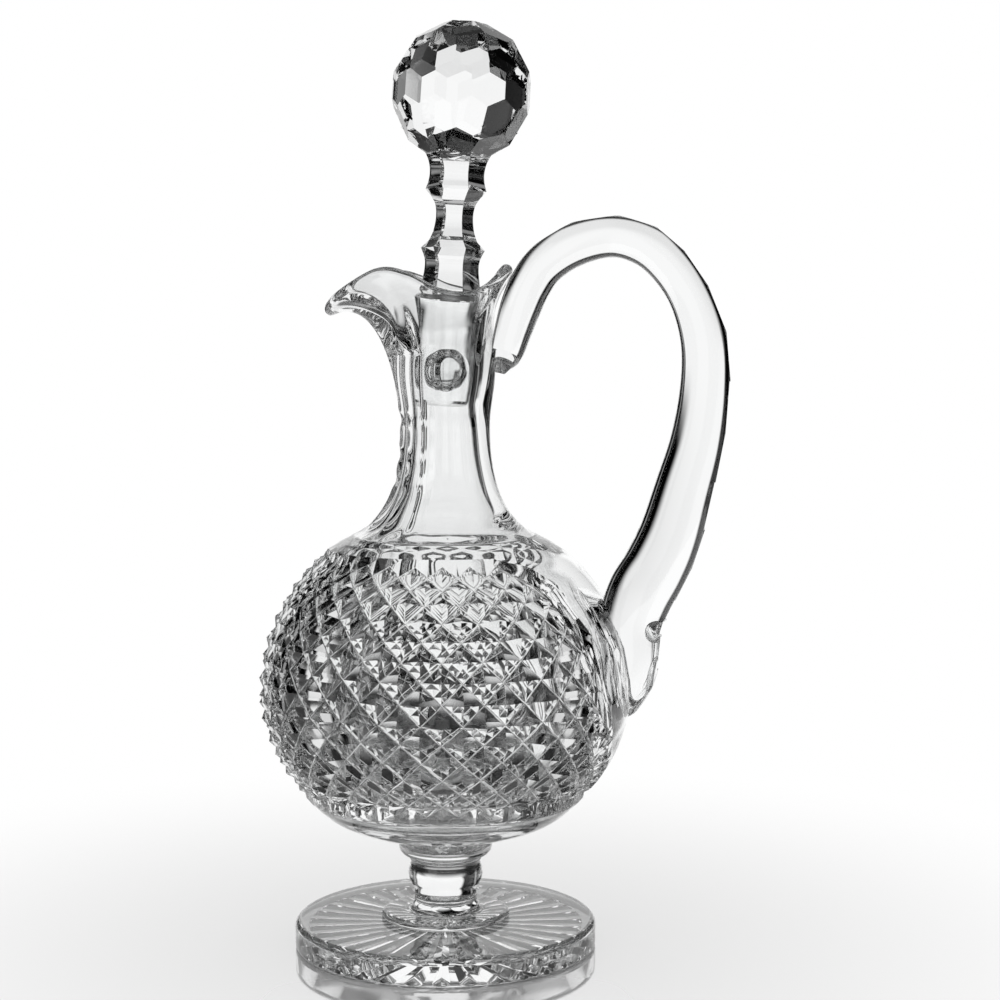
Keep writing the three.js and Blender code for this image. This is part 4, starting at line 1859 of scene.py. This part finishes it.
def press_together(rod: Object, wall: Object) -> None:
    """Sinks the rod's end in a wall and marks the faces that they share as fused.

    Args:
        rod: the handle. Its faces inside the wall become fused ones.
        wall: the piece that it is pressed on. It gets a pocket with fused faces.
    """
    outer_tool, inner_tool = duplicate(wall, "wall_outer"), duplicate(wall, "wall_inner")
    pocket = duplicate(rod, "pocket_wheel")
    number_faces(pocket, Face.BOND)
    for tool in (outer_tool, inner_tool):
        tool.data.materials.clear()
        tool.data.materials.append(bpy.data.materials.get(TOOL_MARK) or bpy.data.materials.new(TOOL_MARK))
        for polygon in tool.data.polygons:
            polygon.material_index = 0
    inside = duplicate(rod, "rod_inside")
    number_faces(inside, Face.BOND)
    combine(rod, outer_tool, "DIFFERENCE")
    combine(inside, inner_tool, "INTERSECT")
    combine(wall, pocket, "DIFFERENCE")
    for part in (rod, inside):
        caps = {i for i, mark in enumerate(part.data.materials) if mark and mark.name == TOOL_MARK}
        with editing(part):
            bpy.ops.mesh.select_mode(type="FACE")
            shape = bmesh.from_edit_mesh(part.data)
            for face in shape.faces:
                face.select_set(face.material_index in caps)
            bmesh.update_edit_mesh(part.data)
            bpy.ops.mesh.delete(type="FACE")
    join(rod, inside)
    with editing(rod):
        bpy.ops.mesh.select_all(action="SELECT")
        bpy.ops.mesh.remove_doubles(threshold=PRESS_WELD * MM)
        weld_and_turn_out()


# Stopper.


@dataclass
class Stopper:
    """The ball stopper: facets, a six-sided waisted shank and a ground plug with an air tear."""

    shank_length: float = 52.5
    shank_radius: float = 10.4
    ball_radius: float = 22.4
    ball_rise: float = 15.3
    seat_depth: float = 3.0
    plug_chamfer: float = 1.6
    plug_sides: int = 96
    plug_ring_shares: tuple[float, ...] = (0.2, 0.4, 0.6, 0.8)
    plug_slack: float = 0.15
    tear_height: float = 10.6
    tear_wheel: Triple = (5.0, 5.0, 6.6)
    shank_sides: int = 6
    shank_curve_steps: int = 6
    blank_share: float = 1.35
    blank_detail: int = 3
    crease: float = 16.0
    ball_rows: tuple[tuple[float, int, float], ...] = (
        (0, 1, 0), (31, 6, 0), (60, 12, 0.5), (89, 12, 0), (117, 12, 0.5), (144, 6, 0),
    )
    shank_lines: tuple[tuple[Pair, ...], ...] = (
        ((0.86, -0.03), (0.94, 0.0), (0.99, 0.02)),
        ((0.99, 0.02), (0.93, 0.09), (0.88, 0.17), (0.9, 0.23), (1.04, 0.295)),
        ((1.04, 0.295), (0.78, 0.346)),
        ((0.78, 0.346), (0.66, 0.41), (0.6, 0.5), (0.65, 0.575), (0.79, 0.623)),
        ((0.79, 0.623), (0.99, 0.668)),
        ((0.99, 0.668), (0.91, 0.72), (0.885, 0.785), (0.97, 0.86), (1.22, 0.94), (1.6, 1), (1.9, 1.05)),
    )
    shank_phase: float = math.radians(1)

    def ball(self) -> Object:
        """The ball: a blank sphere on which each facet is a flat plane cut.

        Returns:
            The ball.
        """
        clear_bench()
        height = DRAWING.plug_length + self.shank_length + self.ball_rise
        blank = self.ball_radius * self.blank_share
        bpy.ops.mesh.primitive_ico_sphere_add(subdivisions=self.blank_detail, radius=blank * MM)
        piece = bpy.context.active_object
        piece.name = "stopper_cut"
        with editing(piece):
            for tilt, count, phase in self.ball_rows:
                for i in range(count):
                    turn = FULL_TURN * (i + phase) / count
                    lean = math.radians(tilt)
                    level = math.sin(lean)
                    normal = Vector((level * math.sin(turn), -level * math.cos(turn), math.cos(lean)))
                    bpy.ops.mesh.select_all(action="SELECT")
                    bpy.ops.mesh.bisect(
                        plane_co=normal * self.ball_radius * MM, plane_no=normal,
                        use_fill=True, clear_outer=True,
                    )
            bpy.ops.mesh.select_all(action="SELECT")
            bpy.ops.transform.translate(value=(0, 0, height * MM))
            weld_and_turn_out()
        return piece

    def shank(self) -> Object:
        """The shank: six flat sides, hollowed into waists between two sharp ridges.

        Returns:
            The shank.
        """
        d = DRAWING
        outline: list[Pair] = []
        for line in self.shank_lines:
            points = [(r * self.shank_radius, d.plug_length + h * self.shank_length) for r, h in line]
            run = curve_through(points, self.shank_curve_steps) if len(points) > 2 else points
            outline += run if not outline else run[1:]
        closed = [(0, outline[0][1]), *outline, (0, outline[-1][1])]
        piece = lathe("shank", closed, self.shank_sides)
        with editing(piece):
            shape = bmesh.from_edit_mesh(piece.data)
            for vertex in shape.verts:
                vertex.co.rotate(Matrix.Rotation(self.shank_phase, 3, "Z"))
            bmesh.update_edit_mesh(piece.data)
        return piece

    def plug(self) -> Object:
        """The ground plug, chamfered at both ends.

        Returns:
            The plug.
        """
        d, c = DRAWING, self.plug_chamfer
        line = [
            (0, 0), (d.plug_bottom_radius - c / 2, 0), (d.plug_bottom_radius, c / 2),
            *((lerp(d.plug_bottom_radius, d.plug_top_radius, s), lerp(c / 2, d.plug_length - c, s))
              for s in self.plug_ring_shares),
            (d.plug_top_radius, d.plug_length - c), (d.plug_top_radius - c, d.plug_length),
            (0, d.plug_length),
        ]
        return lathe("plug", line, self.plug_sides)

    def build(self) -> None:
        """Makes and dresses the stopper."""
        d = DRAWING
        piece = self.ball()
        combine(piece, self.shank(), "UNION")
        combine(piece, self.plug(), "UNION")
        up, along = Vector((0, 0, 1)), Vector((1, 0, 0))
        tear = pebble("air_tear", self.tear_wheel, up * self.tear_height, up, along)
        combine(piece, tear, "DIFFERENCE")
        number_faces(piece)
        low, high = self.plug_chamfer / 2, d.plug_length - self.plug_chamfer

        def is_ground(at: Vector, normal: Vector) -> bool:
            """True for the plug's ground side.

            Args:
                at: the face's middle.
                normal: its normal.

            Returns:
                Whether it is ground.
            """
            near = lerp(d.plug_bottom_radius, d.plug_top_radius, (at.z - low) / (high - low))
            return low < at.z < high and at.xy.length > near - self.plug_slack

        paint(piece, Face.GROUND, is_ground)
        pivot = Matrix.Translation((0, 0, d.pivot * MM))
        seated = pivot @ Matrix.Rotation(d.lean, 4, "Y") @ Matrix.Translation((0, 0, -self.seat_depth * MM))
        piece.matrix_world = seated
        settle(piece)
        smooth(piece, self.crease)
        dress(piece, FACET_POLISH, Slot.STOPPER, Body.STOPPER, "stopper")


# Studio.


@dataclass
class Sums:
    """Node sums on one tree, for the patterns of light."""

    tree: NodeTree

    def node(self, kind: str, **settings: str) -> Node:
        """Adds a node with its settings.

        Args:
            kind: the node's type.
            settings: its options by name.

        Returns:
            The node.
        """
        made = self.tree.nodes.new(kind)
        for name, value in settings.items():
            setattr(made, name, value)
        return made

    def wire(self, value: NodeSocket | float, socket: NodeSocket) -> None:
        """Links a socket to another one, or sets it to a number.

        Args:
            value: the socket or the number.
            socket: the socket that takes it.
        """
        if isinstance(value, NodeSocket):
            self.tree.links.new(value, socket)
        else:
            socket.default_value = value

    def math(self, how: str, *values: NodeSocket | float) -> NodeSocket:
        """A sum of sockets or numbers.

        Args:
            how: the operation.
            values: what it works on.

        Returns:
            The socket.
        """
        made = self.node("ShaderNodeMath", operation=how)
        for value, socket in zip(values, made.inputs):
            self.wire(value, socket)
        return made.outputs["Value"]

    def step(
        self, value: NodeSocket, ends: Pair, low: NodeSocket | float = 0.0, high: NodeSocket | float = 1.0,
    ) -> NodeSocket:
        """A soft step.

        Args:
            value: what decides.
            ends: between which values the step lies.
            low: what comes out below it.
            high: what comes out above it.

        Returns:
            The socket.
        """
        made = self.node("ShaderNodeMapRange", interpolation_type="SMOOTHSTEP")
        inputs = (value, *ends, low, high)
        for name, given in zip(("Value", "From Min", "From Max", "To Min", "To Max"), inputs):
            self.wire(given, made.inputs[name])
        return made.outputs["Result"]

    def brightest(self, first: NodeSocket, *others: NodeSocket | float) -> NodeSocket:
        """The greatest of several values.

        Args:
            first: one of them.
            others: the rest.

        Returns:
            The socket.
        """
        for other in others:
            first = self.math("MAXIMUM", first, other)
        return first

    def pick(
        self, share: NodeSocket, without: NodeSocket | float, with_it: NodeSocket | float,
    ) -> NodeSocket:
        """A mix of two values.

        Args:
            share: how much of the second value it has.
            without: the first value.
            with_it: the second value.

        Returns:
            The socket.
        """
        made = self.node("ShaderNodeMix", data_type="FLOAT")
        for name, given in (("Factor", share), ("A", without), ("B", with_it)):
            self.wire(given, made.inputs[name])
        return made.outputs["Result"]

    def oval(self, across: NodeSocket, up: NodeSocket, middle: Pair, half: Pair, soft: float) -> NodeSocket:
        """A soft-edged oval.

        Args:
            across: the level coordinate.
            up: the upright coordinate.
            middle: the oval's middle.
            half: its half width and half height.
            soft: how soft its edge is.

        Returns:
            A socket that is 1 inside the oval and 0 outside it.
        """
        squares = []
        for value, place, size in zip((across, up), middle, half):
            far = self.math("DIVIDE", self.math("SUBTRACT", value, place), size)
            squares.append(self.math("MULTIPLY", far, far))
        return self.step(self.math("ADD", *squares), (1 - soft, 1 + soft), 1.0, 0.0)

    def turned(self, coordinates: str, angle: float) -> tuple[NodeSocket, ...]:
        """Three coordinates, turned about the upright axis.

        Args:
            coordinates: which of the texture coordinates.
            angle: how far they are turned.

        Returns:
            The three sockets.
        """
        way = self.node("ShaderNodeTexCoord")
        turn = self.node("ShaderNodeVectorRotate", rotation_type="Z_AXIS")
        self.wire(way.outputs[coordinates], turn.inputs["Vector"])
        turn.inputs["Angle"].default_value = angle
        parts = self.node("ShaderNodeSeparateXYZ")
        self.wire(turn.outputs["Vector"], parts.inputs["Vector"])
        return tuple(parts.outputs)

    def seen(self, ray: str) -> NodeSocket:
        """1 for light that is on its way to one kind of ray."""
        return self.node("ShaderNodeLightPath").outputs[ray]


@dataclass
class Studio:
    """The photograph's camera, a glossy white sheet, and bright windows between dark cards."""

    azimuth: float = math.radians(6)
    distance: float = 680.0
    camera_height: float = 205.0
    aim_height: float = 152.7
    aside: float = 18.7
    lens: float = 72.4
    sensor: float = 36.0

    sheet_radius: float = 620.0
    sheet_sides: int = 96
    sheet_drop: float = 0.15
    lacquer_drop: float = 0.05
    sheet_fade: Pair = (0.06, 0.3)
    mirror: float = 0.8
    mirror_slant: Pair = (0.35, 0.72)
    polish: float = 0.06
    # Painted light and shade in the sheet's colour, seen only by rays through the glass: a painted light
    # spot under the foot, dark painted shade near the decanter, and painted windows between dark cards
    # further out.
    painted_light_spot: float = 0.8
    spot_edge: Pair = (0.05, 0.06)
    sheet_near: float = 0.03
    sheet_far: float = 0.85
    far_edge: Pair = (0.1, 0.2)
    ground_turn: Pair = (0.3, 0.5)
    ground_slope: Pair = (-0.6, -0.45)

    window: tuple[Pair, Pair] = ((0.14, 0.1), (0.54, 0.51))
    window_soft: float = 0.15
    side_windows: tuple[tuple[float, float, float], ...] = (
        (0.85, 0.05, 0.3), (1.57, 0.2, 0.85), (2.36, 0.22, 0.9), (3.14, 0.2, 0.85),
    )
    side_edge_shares: Pair = (0.8, 1.2)
    side_height: Pair = (0.32, 0.46)
    half_edge: Pair = (-0.05, 0.05)
    panel_edge: Pair = (0.0, 0.1)
    lamp: tuple[Pair, Pair] = ((-0.6, 0.35), (0.18, 0.25))
    lamp_soft: float = 0.2
    sky_edge: Pair = (0.92, 0.96)
    sky_level: float = 0.5
    ground_edge: Pair = (-0.2, -0.02)
    shine: float = 0.02
    shine_sides: Pair = (0.3, 0.4)
    shine_top: Pair = (0.4, 0.5)
    past_lacquer: float = 0.5

    glass_bounces: int = 28
    mirror_bounces: int = 16
    clear_bounces: int = 32

    def camera(self) -> None:
        """A camera at the photograph's angle, aimed beside the axis as the photograph is."""
        right = Vector((math.cos(self.azimuth), math.sin(self.azimuth), 0))
        ahead = Vector((-math.sin(self.azimuth), math.cos(self.azimuth), 0))
        place = right * self.aside - ahead * self.distance + Vector((0, 0, self.camera_height))
        aim = right * self.aside + Vector((0, 0, self.aim_height))
        data = bpy.data.cameras.new("studio_camera")
        data.lens = self.lens
        data.sensor_width = self.sensor
        camera = bpy.data.objects.new("studio_camera", data)
        camera.location = place * MM
        camera.rotation_euler = (aim - place).to_track_quat("-Z", "Y").to_euler()
        bpy.context.scene.collection.objects.link(camera)
        bpy.context.scene.camera = camera

    def sheet(self) -> None:
        """A round sheet of glossy white acrylic under a clear lacquer, fading into the white; to rays
        through the glass its colour carries painted light and shade.
        """
        for name, drop in (("floor_acrylic", self.sheet_drop), ("floor_lacquer", self.lacquer_drop)):
            clear_bench()
            bpy.ops.mesh.primitive_circle_add(
                vertices=self.sheet_sides, radius=self.sheet_radius * MM, fill_type="NGON",
                location=(0, 0, -drop * MM),
            )
            layer = bpy.context.active_object
            layer.name = name
            made = bpy.data.materials.new(name)
            made.use_nodes = True
            sums = Sums(made.node_tree)
            sums.tree.nodes.remove(sums.tree.nodes["Principled BSDF"])
            layer.data.materials.append(made)
            if name == "floor_acrylic":
                self._acrylic(sums)
            else:
                clear = sums.node("ShaderNodeBsdfTransparent").outputs["BSDF"]
                sums.wire(clear, sums.tree.nodes["Material Output"].inputs["Surface"])

    def _acrylic(self, sums: Sums) -> None:
        """Wires the sheet: matt white, a soft mirror, and for rays through the glass a colour with painted
        shade near the decanter, a painted light spot under the foot and painted windows between dark cards
        further out.

        Args:
            sums: the sums on the sheet's tree.
        """
        x, y, _ = sums.turned("Object", -self.azimuth)
        # Painted light: the world's windows and dark cards, painted into the sheet's colour round about.
        far = sums.math("MULTIPLY", self._round_about(sums, x, y, True), self.sheet_far)
        reach = sums.node("ShaderNodeVectorMath", operation="LENGTH")
        sums.wire(sums.node("ShaderNodeTexCoord").outputs["Object"], reach.inputs[0])
        distance = reach.outputs["Value"]
        # Painted shade: the sheet is dark near the decanter, where its shadow falls, and brightens out to
        # the painted windows.
        painted_shade_to_windows = sums.step(distance, self.far_edge, self.sheet_near, far)
        # Painted light: a bright spot in the sheet's colour under the foot.
        through = sums.step(distance, self.spot_edge, self.painted_light_spot, painted_shade_to_windows)
        matt = sums.node("ShaderNodeBsdfDiffuse")
        # Only rays through the glass see this painted light and shade; to every other ray the sheet is
        # plain white.
        sums.wire(sums.pick(sums.seen("Is Transmission Ray"), 1.0, through), matt.inputs["Color"])
        gloss = sums.node("ShaderNodeBsdfAnisotropic")
        gloss.inputs["Roughness"].default_value = self.polish
        clear = sums.node("ShaderNodeBsdfTransparent")
        shine = sums.node("ShaderNodeMixShader")
        fade = sums.node("ShaderNodeMixShader")
        facing = sums.node("ShaderNodeLayerWeight").outputs["Facing"]
        slant = sums.step(facing, self.mirror_slant, 0.0, self.mirror)
        sums.wire(sums.math("MULTIPLY", sums.seen("Is Camera Ray"), slant), shine.inputs["Fac"])
        sums.wire(matt.outputs["BSDF"], shine.inputs[1])
        sums.wire(gloss.outputs["BSDF"], shine.inputs[2])
        sums.wire(sums.step(distance, self.sheet_fade), fade.inputs["Fac"])
        sums.wire(shine.outputs["Shader"], fade.inputs[1])
        sums.wire(clear.outputs["BSDF"], fade.inputs[2])
        sums.wire(fade.outputs["Shader"], sums.tree.nodes["Material Output"].inputs["Surface"])

    def _round_about(self, sums: Sums, x: NodeSocket, y: NodeSocket, ground: bool) -> NodeSocket:
        """How bright it is all round: windows at angles from the photograph's background.

        Args:
            sums: the tree's sums.
            x: the coordinate to the photograph's right.
            y: the coordinate away from its camera.
            ground: True to count the floor behind, too.

        Returns:
            The brightness.
        """
        turn = sums.math("ABSOLUTE", sums.math("ARCTAN2", x, y))
        levels = [sums.step(turn, self.ground_turn, 1.0, 0.0)] if ground else []
        for middle, half, level in self.side_windows:
            off = sums.math("ABSOLUTE", sums.math("SUBTRACT", turn, middle))
            edges = tuple(half * share for share in self.side_edge_shares)
            levels.append(sums.step(off, edges, level, 0.0))
        return sums.brightest(*levels)

    def tent(self) -> None:
        """A world that is white, save for what the glass shows: windows between dark cards."""
        world = bpy.data.worlds.new("studio_tent")
        bpy.context.scene.world = world
        world.use_nodes = True
        sums = Sums(world.node_tree)
        x, y, z = sums.turned("Generated", -self.azimuth)
        before, beyond = sums.step(y, self.half_edge, 1.0, 0.0), sums.step(y, self.half_edge)
        lamp = sums.math("MULTIPLY", sums.oval(x, z, *self.lamp, self.lamp_soft), before)
        behind = sums.math("MULTIPLY", sums.oval(x, z, *self.window, self.window_soft), beyond)
        height = sums.step(sums.math("ABSOLUTE", z), self.side_height, 1.0, 0.0)
        others = sums.math("MULTIPLY", self._round_about(sums, x, y, False), height)
        sky = sums.step(z, self.sky_edge, 0.0, self.sky_level)
        upper = sums.brightest(lamp, behind, others, sky)
        far = sums.math("MULTIPLY", self._round_about(sums, x, y, True), self.sheet_far)
        ground = sums.step(z, self.ground_slope, self.sheet_near, far)
        through = sums.step(z, self.ground_edge, ground, upper)
        sides = sums.step(sums.math("ABSOLUTE", x), self.shine_sides, 1.0, 0.0)
        panel = sums.math("MULTIPLY", sums.step(z, self.shine_top, 1.0, 0.0), sides)
        panel = sums.math("MULTIPLY", sums.step(y, self.panel_edge), panel)
        off_sheet = sums.math("GREATER_THAN", sums.seen("Transparent Depth"), self.past_lacquer)
        mirrored = sums.brightest(lamp, panel, off_sheet, self.shine)
        in_glass = sums.seen("Is Transmission Ray")
        on_glass = sums.math("MAXIMUM", in_glass, sums.seen("Is Glossy Ray"))
        light = sums.pick(on_glass, 1.0, sums.pick(in_glass, mirrored, through))
        sums.wire(light, world.node_tree.nodes["Background"].inputs["Color"])

    def light_paths(self) -> None:
        """Lets light pass through as many walls as the decanter has, and keeps colours plain."""
        scene = bpy.context.scene
        scene.view_settings.view_transform = "Standard"
        scene.cycles.max_bounces = self.glass_bounces
        scene.cycles.transmission_bounces = self.glass_bounces
        scene.cycles.glossy_bounces = self.mirror_bounces
        scene.cycles.transparent_max_bounces = self.clear_bounces

    def build(self) -> None:
        """Sets up the camera, the sheet and the world."""
        self.camera()
        self.sheet()
        self.tent()
        self.light_paths()


def main() -> None:
    """Builds the decanter, its stopper and the studio."""
    logging.basicConfig(level=logging.INFO, format="%(name)s: %(message)s")
    Studio().build()
    FootAndStem().build()
    makers = Bowl(), Neck(), Handle()
    bowl, neck, handle = (maker.build() for maker in makers)
    press_together(handle, bowl)
    press_together(handle, neck)
    for maker, piece in zip(makers, (bowl, neck, handle)):
        smooth(piece, maker.crease)
    dress(bowl, CUT_POLISH, Slot.CUT, Body.DECANTER, "bowl")
    dress(neck, FIRE_POLISH, Slot.CLEAR, Body.DECANTER, "neck")
    dress(handle, FIRE_POLISH, Slot.CLEAR, Body.DECANTER, "handle")
    Stopper().build()


if __name__ == "__main__":
    main()
